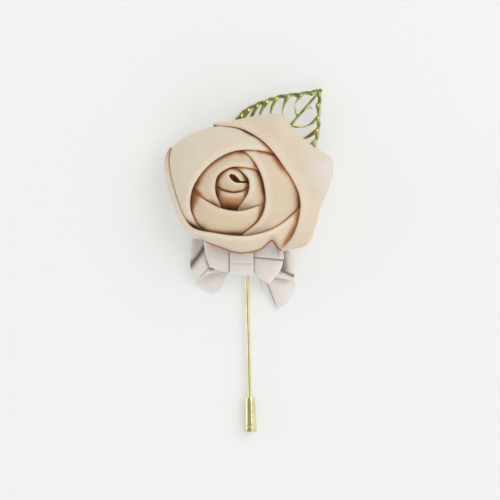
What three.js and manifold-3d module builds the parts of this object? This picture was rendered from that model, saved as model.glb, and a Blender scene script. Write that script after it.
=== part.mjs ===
// A ribbon-rose boutonniere on a stick pin, lying on its back with the bloom facing up.
// Millimetres, +Z up. The origin is the centre of the felt back, on the surface it lies on.
// The pin runs towards -Y, the metal leaf towards +X +Y, and the bow lies over the pin below the bloom.
import * as THREE from "three";
import { mergeVertices } from "three/addons/utils/BufferGeometryUtils.js";
import Module from "manifold-3d";

const wasm = await Module();
wasm.setup();

// Stack of the back, from the surface up. GAP is the glue line between two pieces.
const GAP = 0.3;
const MERGE_REACH = 1e-4;
const DISC_SIDES = 40;
const FELT_R = 12.0;
const FELT_THICK = 1.0;
const PAD_R = 5.0;
const PAD_THICK = 0.6;
const LEAF_THICK = 0.6;
const ROSE_BASE_R = 14.0;
const ROSE_BASE_THICK = 0.8;

// Pin and clutch. The clutch is widest at its closed end, and lies on the surface there.
const PIN_HEAD = new THREE.Vector2(-1.66, 0);
const PIN_LEAN = THREE.MathUtils.degToRad(1.28);
const PIN_R = 0.75;
const PIN_LOW_R = 0.55;
const PIN_BLUNT_R = 0.05;
const PIN_UPPER_END = 4.0;
const PIN_POINT_LENGTH = 7.0;
const PIN_SIDES = 16;
const CLUTCH_MOUTH = 70.2;
const CLUTCH_LENGTH = 11.3;
const CLUTCH_MOUTH_R = 1.6;
const CLUTCH_END_R = 2.05;
const CLUTCH_BEVEL = 0.3;
const CLUTCH_CAP = 1.7;
const CLUTCH_GROOVE = 0.2;
const CLUTCH_BORE_R = 1.2;
const CLUTCH_HOLE_R = 0.85;
const CLUTCH_FLOOR = 1.2;
const CLUTCH_LIP = 0.8;
const CLUTCH_SIDES = 24;
const SLEEVE_R = 1.05;
const SLEEVE_BORE_R = 0.68;
const SLEEVE_LENGTH = 6.0;
const SLEEVE_PLAY = 0.15;

const PIN_Z = CLUTCH_END_R;
const PIN_TIP = CLUTCH_MOUTH + CLUTCH_LENGTH - CLUTCH_FLOOR - 2 * GAP;
const PAD_Z = FELT_THICK + GAP + 2 * PIN_R - PAD_THICK;
const LEAF_Z = PAD_Z + PAD_THICK + GAP;
const ROSE_BASE_Z = LEAF_Z + LEAF_THICK + GAP;
const ROSE_Z = ROSE_BASE_Z + ROSE_BASE_THICK + GAP;

// Ribbon of the bloom. Each petal is one folded piece of ribbon, thickest at its rolled rim.
const RIM_THICK = 1.1;
const FOOT_THICK = 0.62;
const PETAL_COLUMNS = 14;
const FACE_ROWS = 5;
const BACK_ROWS = 4;
const FOOT_CENTRE = new THREE.Vector2(-1, 0);
const FOOT_FIRST_R = 2.3;
const FOOT_STEP_R = 1.23;
const FOOT_STEP_GROWTH = 0.02;
// The face's curve: how far the ribbon runs nearly level from its rim, how much it sinks there, and
// how high above the edge it begins to turn down. EDGE_TUCK is how deep it hangs below the edge.
const FACE_RUN = 0.5;
const FACE_SINK = 0.12;
const FACE_TURN = 0.6;
const EDGE_TUCK = 0.45;
const RIM_SHARE = 0.62;
// How far the ribbon runs out beside its foot, and how high, from the innermost petal to the outermost.
const FOOT_SPREAD = [0.02, 0.14];
const FOOT_LIFT = [0.7, 0.5];

// The rolled core in the middle of the bud.
const CORE_TOP = new THREE.Vector3(-5.2, 0.8, 17.2);
const CORE_TOP_R = 1.4;
const CORE_LOW_R = 1.0;
const CORE_LIP = 0.5;
const CORE_DISH = 1.2;
const CORE_SIDES = 20;

// Gilt openwork leaf, drawn from its base towards its tip.
const LEAF_BASE = new THREE.Vector2(-6.6, -4.5);
const LEAF_TIP = new THREE.Vector2(23.3, 30.5);
const LEAF_HALF_WIDTHS = [
  [0, 0.4], [4, 4.5], [10, 10], [16, 13.8], [21.7, 15.3], [24.6, 15], [27.4, 14],
  [31.1, 12], [34, 10.3], [37.1, 7.9], [39.8, 5.2], [42.8, 2.7], [46, 0.2],
];
const LEAF_RIGHT_SHARE = 0.87;
const LEAF_SCALLOPS = 12;
const LEAF_SCALLOP_DEPTH = 0.7;
const LEAF_MARGIN_WIDTH = 0.9;
const LEAF_VEIN_WIDTH = 0.75;
const LEAF_RIB_WIDTHS = [1.5, 0.8];
const LEAF_RISE = 1.1;
const LEAF_DROOP = 0.09;
const LEAF_FREE_FROM = 17;
const LEAF_FREE_SHARE = 0.7;
const LEAF_TIP_DROOP = 2;
const LEAF_RIB_STEPS = 8;
const LEAF_SCALLOP_STEPS = 4;
const LEAF_VEIN_STEPS = 4;
const LEAF_VEIN_SLANT = 0.95;
const LEAF_VEIN_BOW = [0.45, 0.75];

const BOW_THICK = 0.6;
const BOW_ROWS = 3;
const BOW_STEPS = 2;
const KNOT_X = [-6.3, 0.9];
const KNOT_Y = [-29.9, -22.2];
const KNOT_Z = [3.1, 7.5];
const KNOT_WALL = 0.6;
const KNOT_CORNER = 1.0;
const KNOT_ARC_STEPS = 3;

const SATIN = { color: 0xdcc4ac, roughness: 0.42, metalness: 0 };
const BOW_SATIN = { color: 0xcfc6c9, roughness: 0.5, metalness: 0 };
const GILT = { color: 0xc9b765, roughness: 0.25, metalness: 1 };
const LEAF_GILT = { color: 0x9a9248, roughness: 0.35, metalness: 1 };
const FELT = { color: 0xe8e2d8, roughness: 0.95, metalness: 0 };
const NYLON = { color: 0xf0efe8, roughness: 0.6, metalness: 0 };

const group = new THREE.Group();

// Everything on the pin's own line: distances along it are measured from the middle of the pad.
const pinLine = new THREE.Group();
pinLine.position.set(PIN_HEAD.x, PIN_HEAD.y, PIN_Z);
pinLine.rotation.z = Math.PI + PIN_LEAN;
group.add(pinLine);

function addPiece(name, geometry, look, parent = group) {
  const piece = new THREE.Mesh(geometry, new THREE.MeshStandardMaterial(look));
  piece.name = name;
  parent.add(piece);
  return piece;
}

// A closed geometry from points and triangle corners, turned so that its faces point out.
function closedGeometry(points, corners) {
  let volume = 0;
  for (let i = 0; i < corners.length; i += 3) {
    const [a, b, c] = [points[corners[i]], points[corners[i + 1]], points[corners[i + 2]]];
    volume += a.dot(new THREE.Vector3().crossVectors(b, c));
  }
  if (volume < 0) {
    for (let i = 0; i < corners.length; i += 3) {
      [corners[i + 1], corners[i + 2]] = [corners[i + 2], corners[i + 1]];
    }
  }
  const geometry = new THREE.BufferGeometry().setFromPoints(points);
  geometry.setIndex(corners);
  return geometry;
}

// The normal of a grid of points at one place, from its neighbours along both directions.
function gridNormal(grid, j, i) {
  const last = grid[0].length - 1;
  const along = grid[Math.min(j + 1, grid.length - 1)][i].clone();
  along.sub(grid[Math.max(j - 1, 0)][i]);
  const across = grid[j][Math.min(i + 1, last)].clone().sub(grid[j][Math.max(i - 1, 0)]);
  return along.cross(across).normalize();
}

// A sheet with thickness: grid[j][i] is its face, and thick(j, i) its depth behind that face, on the
// side that the grid's own normals point away from. The edge at i = 0 is rounded, as a rolled hem is.
function sheetGeometry(grid, thick) {
  const rows = grid[0].length;
  const ring = 2 * rows + 1;
  const points = [];
  grid.forEach((row, j) => {
    const backs = row.map((p, i) => p.clone().addScaledVector(gridNormal(grid, j, i), -thick(j, i)));
    const outward = row[0].clone().sub(row[1]).normalize();
    const hem = row[0].clone().add(backs[0]).multiplyScalar(0.5);
    hem.addScaledVector(outward, thick(j, 0) / 2);
    points.push(...row.map((p) => p.clone()), ...backs.reverse(), hem);
  });
  const corners = [];
  for (let j = 0; j + 1 < grid.length; j++) {
    for (let i = 0; i < ring; i++) {
      const a = j * ring + i;
      const b = j * ring + ((i + 1) % ring);
      corners.push(a, b, b + ring, a, b + ring, a + ring);
    }
  }
  for (const [start, flip] of [[0, true], [(grid.length - 1) * ring, false]]) {
    const faces = [[0, 2 * rows - 1, 2 * rows]];
    for (let i = 0; i + 1 < rows; i++) {
      const far = 2 * rows - 1 - i;
      faces.push([i, i + 1, far], [i + 1, far - 1, far]);
    }
    for (const [a, b, c] of faces) {
      corners.push(start + a, start + (flip ? c : b), start + (flip ? b : c));
    }
  }
  return closedGeometry(points, corners);
}

function mergedPositions(geometry) {
  const bare = geometry.index ? geometry.toNonIndexed() : geometry.clone();
  const placed = new THREE.BufferGeometry();
  placed.setAttribute("position", bare.getAttribute("position"));
  return mergeVertices(placed, MERGE_REACH);
}

function solidOf(geometry) {
  const merged = mergedPositions(geometry);
  return new wasm.Manifold(
    new wasm.Mesh({
      numProp: 3,
      vertProperties: merged.attributes.position.array,
      triVerts: new Uint32Array(merged.index.array),
    }),
  );
}

function geometryOf(solid) {
  const mesh = solid.getMesh();
  const geometry = new THREE.BufferGeometry();
  geometry.setAttribute("position", new THREE.BufferAttribute(mesh.vertProperties, 3));
  geometry.setIndex(new THREE.BufferAttribute(mesh.triVerts, 1));
  return geometry;
}

function joined(geometries) {
  return geometryOf(geometries.map(solidOf).reduce((whole, next) => whole.add(next)));
}

// A profile of [radius, distance] pairs, turned round the Y axis.
function turned(profile, sides) {
  return new THREE.LatheGeometry(profile.map(([r, h]) => new THREE.Vector2(r, h)), sides);
}

function disc(radius, low, thick) {
  const geometry = turned([[0, 0], [radius, 0], [radius, thick], [0, thick]], DISC_SIDES);
  return geometry.rotateX(Math.PI / 2).translate(0, 0, low);
}

// Petals, from the bud out. Each station is [rim x, y, z, edge x, y, z]: the rim is the rolled fold
// that faces the viewer, and the edge is where the ribbon turns down behind the bloom to its foot.
const PETALS = [
  {
    name: "bud_roll",
    centre: [-5.4, 0.5],
    stations: [
      [-3.9, 1.1, 20.2, -1.2, 1.0, 12.5],
      [-4.6, 2.1, 20.8, -2.8, 3.3, 12.5],
      [-6.0, 2.4, 21.2, -6.6, 4.0, 12.5],
      [-6.9, 1.4, 21.5, -9.9, 2.0, 12.5],
      [-6.6, 0.1, 21.5, -10.1, -1.2, 12.5],
      [-5.4, -0.4, 21.4, -6.6, -2.9, 12.5],
      [-4.4, -0.2, 21.2, -3.0, -2.5, 12.5],
      [-3.8, 0.2, 20.8, -1.2, -0.4, 12.5],
    ],
  },
  {
    name: "bud_lap",
    centre: [-5, -0.3],
    stations: [
      [-11.0, -2.0, 16.6, -11.5, -3.6, 12],
      [-8.8, -3.6, 18.6, -9.3, -6.6, 12],
      [-5.2, -4.3, 19.2, -5.0, -7.6, 12],
      [-2.0, -3.6, 18.6, -1.6, -5.4, 12],
      [0.2, -1.6, 17.0, 0.7, -2.6, 12],
    ],
  },
  {
    name: "petal_1",
    centre: [-5, -0.5],
    stations: [
      [-6.8, 6.3, 16.8, -7.2, 7.3, 12],
      [-2.4, 4.4, 20.0, -0.8, 7.0, 12],
      [0.2, 0.9, 21.0, 4.2, 2.4, 12],
      [-0.2, -3.8, 19.8, 3.4, -5.6, 12],
      [-4.0, -9.5, 14.4, -2.4, -11.0, 11],
    ],
  },
  {
    name: "petal_2",
    centre: [-5, -0.5],
    stations: [
      [3.6, 4.6, 17.6, 5.6, 6.2, 12.5],
      [-0.8, 5.9, 19.8, 0.8, 9.2, 12.5],
      [-6.4, 5.6, 20.8, -8.0, 10.2, 12.5],
      [-10.9, 1.8, 20.8, -17.5, 3.0, 12.5],
      [-11.6, -3.5, 19.6, -17.0, -4.6, 12.5],
      [-9.0, -9.4, 16.2, -9.5, -11.6, 12],
    ],
  },
  {
    name: "petal_3",
    centre: [-4, -0.5],
    stations: [
      [-20.0, -2.2, 14.6, -20.8, -3.6, 12.3],
      [-14.8, -6.3, 18.6, -18.8, -9.6, 12.3],
      [-10.0, -9.0, 20.0, -13.2, -15.4, 12],
      [-4.1, -10.1, 20.3, -4.8, -16.6, 12],
      [1.2, -9.0, 19.4, 2.6, -13.0, 12],
      [7.0, -5.6, 16.4, 8.2, -7.6, 12],
    ],
  },
  {
    name: "petal_4",
    centre: [-3, -0.5],
    stations: [
      [-5.6, 12.2, 16.4, -6.0, 13.4, 12],
      [0.1, 8.6, 19.6, 3.0, 13.0, 12],
      [3.5, 3.7, 20.8, 11.4, 7.8, 12.5],
      [5.3, -2.5, 20.8, 18.0, 1.0, 12],
      [5.3, -8.3, 19.8, 15.6, -8.6, 12],
      [3.2, -12.8, 17.6, 8.6, -14.4, 12],
      [-2.4, -17.4, 14.2, -0.8, -18.3, 12],
    ],
  },
  {
    name: "petal_5",
    centre: [-0.8, 0],
    stations: [
      [9.4, 9.6, 17.4, 11.8, 11.4, 11.5],
      [2.5, 11.5, 19.4, 4.4, 14.2, 11.3],
      [-5.2, 11.1, 20.3, -5.0, 16.8, 11],
      [-11.9, 7.3, 20.5, -14.5, 17.2, 10.5],
      [-16.6, 2.1, 20.2, -24.9, 11.2, 10.8],
      [-19.6, -3.4, 19.2, -24.2, 0.0, 11.2],
      [-20.2, -9.0, 17.6, -21.2, -9.0, 12],
      [-16.8, -14.2, 14.2, -17.0, -14.8, 11.5],
    ],
  },
  {
    name: "petal_6",
    centre: [-0.8, 0],
    stations: [
      [-26.4, 11.4, 11.0, -26.8, 11.6, 8.6],
      [-26.3, 4.5, 12.6, -27.8, 4.5, 8.6],
      [-23.0, -7.2, 14.2, -24.9, -7.4, 8.5],
      [-19.2, -14.6, 16.6, -20.2, -15.6, 9.5],
      [-10.6, -17.4, 18.4, -10.8, -20.2, 10.0],
      [-2.0, -18.1, 19.0, -3.0, -22.6, 10.5],
      [6.7, -16.2, 18.6, 6.0, -20.6, 10.5],
      [12.8, -12.1, 17.4, 13.2, -16.5, 10.5],
      [17.2, -8.4, 14.5, 18.3, -10.5, 11],
    ],
  },
  {
    name: "petal_7",
    centre: [0, 0],
    stations: [
      [-11.5, 18.7, 11.6, -11.8, 19.0, 9.5],
      [-3.1, 17.6, 15.8, -1.0, 21.8, 10.0],
      [4.9, 13.5, 18.6, 10.4, 22.6, 10.5],
      [11.3, 6.2, 20.2, 20.5, 12.6, 11.0],
      [15.5, -1.1, 20.4, 27.4, 6.2, 11.0],
      [16.7, -9.0, 19.4, 23.0, -8.2, 11.0],
      [14.4, -16.8, 16.0, 18.9, -20.3, 10.0],
      [10.0, -22.2, 11.4, 10.4, -22.4, 9.6],
    ],
  },
];

function curveThrough(points) {
  return new THREE.CatmullRomCurve3(points, false, "centripetal");
}

// One petal's outer face as a grid: along the rim in columns, and from rim to foot in rows.
function petalGrid(petal, layer) {
  const rims = curveThrough(petal.stations.map(([x, y, z]) => new THREE.Vector3(x, y, z)));
  const edges = curveThrough(petal.stations.map((s) => new THREE.Vector3(s[3], s[4], s[5])));
  const footR = FOOT_FIRST_R + FOOT_STEP_R * layer + FOOT_STEP_GROWTH * layer * layer;
  const share = layer / (PETALS.length - 1);
  const spread = THREE.MathUtils.lerp(FOOT_SPREAD[0], FOOT_SPREAD[1], share);
  const lift = THREE.MathUtils.lerp(FOOT_LIFT[0], FOOT_LIFT[1], share);
  const grid = [];
  for (let j = 0; j <= PETAL_COLUMNS; j++) {
    const rim = rims.getPoint(j / PETAL_COLUMNS);
    const edge = edges.getPoint(j / PETAL_COLUMNS);
    const angle = Math.atan2(edge.y - petal.centre[1], edge.x - petal.centre[0]);
    const outward = new THREE.Vector3(Math.cos(angle), Math.sin(angle), 0);
    const foot = outward.clone().multiplyScalar(footR);
    foot.add(new THREE.Vector3(FOOT_CENTRE.x, FOOT_CENTRE.y, ROSE_Z));
    const fall = rim.z - edge.z;
    const reach = edge.clone().sub(rim).setZ(0);
    const face = new THREE.CubicBezierCurve3(
      rim,
      rim.clone().addScaledVector(reach, FACE_RUN).setZ(rim.z - FACE_SINK * fall),
      edge.clone().setZ(edge.z + FACE_TURN * fall),
      edge,
    );
    const drop = edge.z - foot.z;
    const span = edge.clone().sub(foot).setZ(0).length();
    const back = new THREE.CubicBezierCurve3(
      edge,
      edge.clone().setZ(edge.z - EDGE_TUCK * drop),
      foot.clone().addScaledVector(outward, spread * span).setZ(foot.z + lift * drop),
      foot,
    );
    grid.push([...face.getPoints(FACE_ROWS), ...back.getPoints(BACK_ROWS).slice(1)]);
  }
  return grid;
}

function petalGeometry(petal, layer) {
  const thinFrom = RIM_SHARE * (FACE_ROWS + BACK_ROWS);
  const grid = petalGrid(petal, layer);
  const thick = (j, i) => THREE.MathUtils.lerp(RIM_THICK, FOOT_THICK, Math.min(1, i / thinFrom));
  const facesUp = gridNormal(grid, Math.round(PETAL_COLUMNS / 2), 1).z > 0;
  return sheetGeometry(facesUp ? grid : grid.reverse(), thick);
}

// The bud's core: ribbon rolled tight, narrow at its foot, dished on top and leaning with the bud.
function coreGeometry() {
  const low = new THREE.Vector3(FOOT_CENTRE.x, FOOT_CENTRE.y, ROSE_Z);
  const height = CORE_TOP.z - low.z;
  const profile = [
    [0, 0],
    [CORE_LOW_R, 0],
    [CORE_TOP_R, height],
    [CORE_TOP_R - CORE_LIP, height],
    [0, height - CORE_DISH],
  ];
  const axis = CORE_TOP.clone().sub(low).divideScalar(height);
  const lean = new THREE.Matrix4().makeBasis(new THREE.Vector3(1, 0, 0), new THREE.Vector3(0, 1, 0), axis);
  return turned(profile, CORE_SIDES).rotateX(Math.PI / 2).applyMatrix4(lean).translate(low.x, low.y, low.z);
}

// The bow. Each station runs across the ribbon, from its upper edge to its lower one.
const BOW_LOOPS = [
  [[-3.1, -23.5, 5.6], [-3.1, -28.7, 5.6]],
  [[-7.4, -23.3, 5.4], [-7.4, -28.8, 5.4]],
  [[-13.6, -19.8, 4.6], [-13.2, -29.6, 4.2]],
  [[-17.8, -18.8, 4.4], [-17.4, -31.2, 3.2]],
  [[-19.0, -18.4, 5.2], [-19.2, -28.8, 4.4]],
  [[-17.2, -18.0, 6.4], [-16.2, -27.8, 6.2]],
  [[-14.9, -18.0, 7.0], [-12.6, -27.6, 7.3]],
  [[-10.6, -20.4, 6.8], [-9.6, -28.6, 7.0]],
  [[-6.9, -23.3, 6.1], [-6.9, -28.7, 6.1]],
  [[-2.7, -23.5, 5.95], [-2.7, -28.7, 5.95]],
  [[1.5, -23.4, 6.0], [1.4, -28.7, 6.0]],
  [[5.0, -22.0, 6.6], [4.0, -31.6, 6.8]],
  [[9.4, -21.4, 6.7], [6.8, -32.2, 7.0]],
  [[12.6, -22.2, 6.2], [10.8, -31.4, 5.6]],
  [[14.2, -23.2, 5.2], [13.8, -31.2, 4.4]],
  [[11.4, -22.8, 4.8], [9.8, -30.4, 4.5]],
  [[5.0, -23.3, 5.35], [4.6, -29.2, 5.35]],
  [[-2.1, -23.5, 5.6], [-2.1, -28.7, 5.6]],
];

const BOW_TAILS = [
  [[-17.9, -32.8, 0.6], [-14.8, -34.6, 0.9], [-11.6, -36.1, 0.5]],
  [[-13.4, -29.6, 1.7], [-11.3, -31.6, 2.1], [-9.0, -33.6, 1.6]],
  [[-9.2, -26.4, 3.0], [-8.6, -28.2, 3.1], [-7.6, -30.0, 3.0]],
  [[-6.0, -24.8, 4.1], [-6.0, -26.8, 4.1], [-6.0, -28.5, 4.1]],
  [[-2.6, -24.8, 4.05], [-2.6, -26.8, 4.05], [-2.6, -28.5, 4.05]],
  [[0.7, -24.8, 4.1], [0.7, -26.8, 4.1], [0.7, -28.5, 4.1]],
  [[4.4, -26.6, 3.0], [3.4, -28.4, 3.2], [2.4, -30.2, 3.1]],
  [[10.0, -28.8, 1.8], [6.0, -31.6, 2.5], [4.2, -33.4, 1.9]],
  [[13.8, -31.8, 1.3], [8.4, -35.0, 2.2], [6.2, -36.2, 1.2]],
  [[14.0, -35.8, 0.9], [9.4, -38.6, 1.6], [8.2, -39.9, 0.7]],
];

// A ribbon through its stations, with each stretch between two points of a station cut in rows.
function ribbonGeometry(stations) {
  const trackOf = (k) => curveThrough(stations.map((s) => new THREE.Vector3(...s[k])));
  const tracks = stations[0].map((_, k) => trackOf(k));
  const steps = (stations.length - 1) * BOW_STEPS;
  const grid = [];
  for (let j = 0; j <= steps; j++) {
    const marks = tracks.map((track) => track.getPoint(j / steps));
    const row = [];
    for (let k = 0; k + 1 < marks.length; k++) {
      for (let i = 0; i < BOW_ROWS; i++) {
        row.push(marks[k].clone().lerp(marks[k + 1], i / BOW_ROWS));
      }
    }
    row.push(marks[marks.length - 1]);
    grid.push(row);
  }
  return sheetGeometry(grid, () => BOW_THICK);
}

function roundedBox(shape, [x0, x1], [y0, y1], corner) {
  shape.moveTo(x0 + corner, y0);
  shape.lineTo(x1 - corner, y0);
  shape.absarc(x1 - corner, y0 + corner, corner, -Math.PI / 2, 0);
  shape.lineTo(x1, y1 - corner);
  shape.absarc(x1 - corner, y1 - corner, corner, 0, Math.PI / 2);
  shape.lineTo(x0 + corner, y1);
  shape.absarc(x0 + corner, y1 - corner, corner, Math.PI / 2, Math.PI);
  shape.lineTo(x0, y0 + corner);
  shape.absarc(x0 + corner, y0 + corner, corner, Math.PI, 1.5 * Math.PI);
  return shape;
}

// The knot: a band of ribbon wrapped round the middle of the bow, open at both sides.
function knotGeometry() {
  const shape = roundedBox(new THREE.Shape(), KNOT_Y, KNOT_Z, KNOT_CORNER);
  const innerY = [KNOT_Y[0] + KNOT_WALL, KNOT_Y[1] - KNOT_WALL];
  const innerZ = [KNOT_Z[0] + KNOT_WALL, KNOT_Z[1] - KNOT_WALL];
  shape.holes.push(roundedBox(new THREE.Path(), innerY, innerZ, KNOT_CORNER - KNOT_WALL));
  const depth = KNOT_X[1] - KNOT_X[0];
  const options = { depth, bevelEnabled: false, curveSegments: KNOT_ARC_STEPS };
  const band = new THREE.ExtrudeGeometry(shape, options);
  band.rotateX(Math.PI / 2).rotateZ(Math.PI / 2);
  return band.translate(KNOT_X[0], 0, 0);
}

// Half the leaf's width at a distance from its base, by straight steps between the drawn widths.
function leafHalfWidth(s) {
  const next = LEAF_HALF_WIDTHS.findIndex(([at]) => at >= s);
  if (next <= 0) return LEAF_HALF_WIDTHS[0][1];
  const [[s0, w0], [s1, w1]] = [LEAF_HALF_WIDTHS[next - 1], LEAF_HALF_WIDTHS[next]];
  return THREE.MathUtils.lerp(w0, w1, (s - s0) / (s1 - s0));
}

const leafAxis = LEAF_TIP.clone().sub(LEAF_BASE);
const LEAF_LENGTH = leafAxis.length();
leafAxis.normalize();

// The leaf's under surface: flat where it is soldered down, then rising, with its halves drooping.
function leafPoint(s, w, lift) {
  const free = THREE.MathUtils.smoothstep(s, LEAF_FREE_FROM, LEAF_LENGTH * LEAF_FREE_SHARE);
  const past = Math.max(0, s / LEAF_LENGTH - LEAF_FREE_SHARE);
  const bend = Math.sin((free * Math.PI) / 2 + past * LEAF_TIP_DROOP);
  const z = LEAF_Z + LEAF_RISE * free * bend - LEAF_DROOP * free * Math.abs(w) + lift;
  const side = new THREE.Vector2(-leafAxis.y, leafAxis.x);
  const at = LEAF_BASE.clone().addScaledVector(leafAxis, s).addScaledVector(side, w);
  return new THREE.Vector3(at.x, at.y, z);
}

// A bar of the leaf's metal along a path of [s, w] places, as wide as widths says at each.
function leafBar(path, widths) {
  const points = [];
  path.forEach(([s, w], k) => {
    const before = path[Math.max(k - 1, 0)];
    const after = path[Math.min(k + 1, path.length - 1)];
    const along = new THREE.Vector2(after[0] - before[0], after[1] - before[1]).normalize();
    const half = widths(k / (path.length - 1)) / 2;
    for (const [sign, lift] of [[-1, 0], [1, 0], [1, LEAF_THICK], [-1, LEAF_THICK]]) {
      points.push(leafPoint(s - sign * half * along.y, w + sign * half * along.x, lift));
    }
  });
  const corners = [];
  for (let k = 0; k + 1 < path.length; k++) {
    for (let i = 0; i < 4; i++) {
      const a = 4 * k + i;
      const b = 4 * k + ((i + 1) % 4);
      corners.push(a, b, b + 4, a, b + 4, a + 4);
    }
  }
  const end = 4 * (path.length - 1);
  corners.push(0, 2, 1, 0, 3, 2, end, end + 1, end + 2, end, end + 2, end + 3);
  return closedGeometry(points, corners);
}

// Midrib, scalloped margin and one curved side vein into each scallop, as one openwork piece.
function leafGeometry() {
  const rib = Array.from({ length: LEAF_RIB_STEPS + 1 }, (_, k) => [(LEAF_LENGTH * k) / LEAF_RIB_STEPS, 0]);
  const bars = [leafBar(rib, (t) => THREE.MathUtils.lerp(LEAF_RIB_WIDTHS[0], LEAF_RIB_WIDTHS[1], t))];
  const pitch = LEAF_LENGTH / LEAF_SCALLOPS;
  for (const side of [1, -LEAF_RIGHT_SHARE]) {
    const margin = [];
    for (let k = 0; k <= LEAF_SCALLOPS * LEAF_SCALLOP_STEPS; k++) {
      const s = (pitch * k) / LEAF_SCALLOP_STEPS;
      const bump = LEAF_SCALLOP_DEPTH * Math.abs(Math.sin((Math.PI * k) / LEAF_SCALLOP_STEPS));
      const w = Math.max(0, leafHalfWidth(s) - LEAF_MARGIN_WIDTH / 2 + bump - LEAF_SCALLOP_DEPTH);
      margin.push([s, side * w]);
    }
    bars.push(leafBar(margin, () => LEAF_MARGIN_WIDTH));
    for (let k = 1; k < LEAF_SCALLOPS; k++) {
      const end = pitch * (k + 0.5);
      const reach = leafHalfWidth(end) - LEAF_MARGIN_WIDTH / 2;
      const start = Math.max(1, end - LEAF_VEIN_SLANT * reach);
      const vein = new THREE.QuadraticBezierCurve(
        new THREE.Vector2(start, 0),
        new THREE.Vector2(start + LEAF_VEIN_BOW[0] * (end - start), side * LEAF_VEIN_BOW[1] * reach),
        new THREE.Vector2(end, side * reach),
      );
      const path = vein.getPoints(LEAF_VEIN_STEPS).map((p) => [p.x, p.y]);
      bars.push(leafBar(path, () => LEAF_VEIN_WIDTH));
    }
  }
  return joined(bars);
}

function pinGeometry() {
  const upper = -PIN_UPPER_END;
  const wire = turned(
    [
      [0, upper],
      [PIN_R, upper],
      [PIN_LOW_R, PIN_TIP - PIN_POINT_LENGTH],
      [PIN_BLUNT_R, PIN_TIP],
      [0, PIN_TIP],
    ],
    PIN_SIDES,
  );
  wire.rotateZ(pinLine.rotation.z).translate(PIN_HEAD.x, PIN_HEAD.y, PIN_Z);
  return joined([wire, disc(PAD_R, PAD_Z, PAD_THICK)]);
}

function clutchGeometry() {
  const cap = CLUTCH_LENGTH - CLUTCH_CAP;
  return turned(
    [
      [0, CLUTCH_LENGTH - CLUTCH_FLOOR],
      [CLUTCH_BORE_R, CLUTCH_LENGTH - CLUTCH_FLOOR],
      [CLUTCH_BORE_R, CLUTCH_LIP],
      [CLUTCH_HOLE_R, CLUTCH_LIP],
      [CLUTCH_HOLE_R, 0],
      [CLUTCH_MOUTH_R - CLUTCH_BEVEL, 0],
      [CLUTCH_MOUTH_R, CLUTCH_BEVEL],
      [CLUTCH_END_R - CLUTCH_GROOVE / 2, cap - CLUTCH_GROOVE],
      [CLUTCH_END_R - CLUTCH_GROOVE, cap],
      [CLUTCH_END_R, cap + CLUTCH_GROOVE],
      [CLUTCH_END_R, CLUTCH_LENGTH - CLUTCH_BEVEL],
      [CLUTCH_END_R - CLUTCH_BEVEL, CLUTCH_LENGTH],
      [0, CLUTCH_LENGTH],
    ],
    CLUTCH_SIDES,
  );
}

function sleeveGeometry() {
  const ring = [
    [SLEEVE_BORE_R, 0],
    [SLEEVE_R, 0],
    [SLEEVE_R, SLEEVE_LENGTH],
    [SLEEVE_BORE_R, SLEEVE_LENGTH],
    [SLEEVE_BORE_R, 0],
  ];
  return turned(ring, CLUTCH_SIDES);
}

// Turns a closed geometry's triangles the other way where they face in.
function facingOut(geometry) {
  const merged = mergedPositions(geometry);
  const place = merged.attributes.position;
  const pointAt = (_, i) => new THREE.Vector3().fromBufferAttribute(place, i);
  const points = Array.from({ length: place.count }, pointAt);
  return closedGeometry(points, Array.from(merged.index.array));
}

addPiece("felt_back", facingOut(disc(FELT_R, 0, FELT_THICK)), FELT);
addPiece("stick_pin", pinGeometry(), GILT);
addPiece("clutch", facingOut(clutchGeometry()), GILT, pinLine).position.y = CLUTCH_MOUTH;
addPiece("clutch_sleeve", facingOut(sleeveGeometry()), NYLON, pinLine).position.y =
  CLUTCH_MOUTH + CLUTCH_LIP + SLEEVE_PLAY;
addPiece("leaf", leafGeometry(), LEAF_GILT);
addPiece("rose_base", facingOut(disc(ROSE_BASE_R, ROSE_BASE_Z, ROSE_BASE_THICK)), FELT);
addPiece("bud_core", facingOut(coreGeometry()), SATIN);
PETALS.forEach((petal, layer) => addPiece(petal.name, petalGeometry(petal, layer), SATIN));
addPiece("bow_tails", ribbonGeometry(BOW_TAILS), BOW_SATIN);
addPiece("bow_loops", ribbonGeometry(BOW_LOOPS), BOW_SATIN);
addPiece("bow_knot", facingOut(knotGeometry()), BOW_SATIN);

export default group;
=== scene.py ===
"""Looks of a ribbon-rose boutonniere on a stick pin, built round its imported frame."""
import logging
import math
from dataclasses import dataclass, field
from enum import Enum

import bpy
import numpy as np
from bpy.types import ID, Material, Mesh, Node, NodeSocket, NodeTree, Object
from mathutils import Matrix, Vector


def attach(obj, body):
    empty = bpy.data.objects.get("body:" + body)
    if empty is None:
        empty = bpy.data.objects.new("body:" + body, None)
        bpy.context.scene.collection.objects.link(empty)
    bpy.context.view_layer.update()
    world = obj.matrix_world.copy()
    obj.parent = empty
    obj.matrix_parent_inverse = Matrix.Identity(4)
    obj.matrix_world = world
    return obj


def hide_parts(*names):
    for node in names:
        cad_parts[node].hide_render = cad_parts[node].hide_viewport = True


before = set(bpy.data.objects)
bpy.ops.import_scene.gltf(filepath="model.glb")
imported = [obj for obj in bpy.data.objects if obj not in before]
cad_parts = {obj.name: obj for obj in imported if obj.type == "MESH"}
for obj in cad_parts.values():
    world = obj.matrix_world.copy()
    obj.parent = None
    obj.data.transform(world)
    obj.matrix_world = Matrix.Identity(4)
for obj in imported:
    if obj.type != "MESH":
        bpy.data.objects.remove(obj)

log = logging.getLogger("boutonniere")

MM = 0.001
TINY = 1e-9
Array = np.ndarray
Pair = tuple[float, float]
Triple = tuple[float, float, float]
Colour = Triple
Station = tuple[float, ...]
Profile = list[Pair]


class Body(Enum):
    """The two parts that move apart: everything sewn or glued to the pin, and its clutch."""

    BLOOM = "bloom"
    CLUTCH = "clutch"


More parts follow.
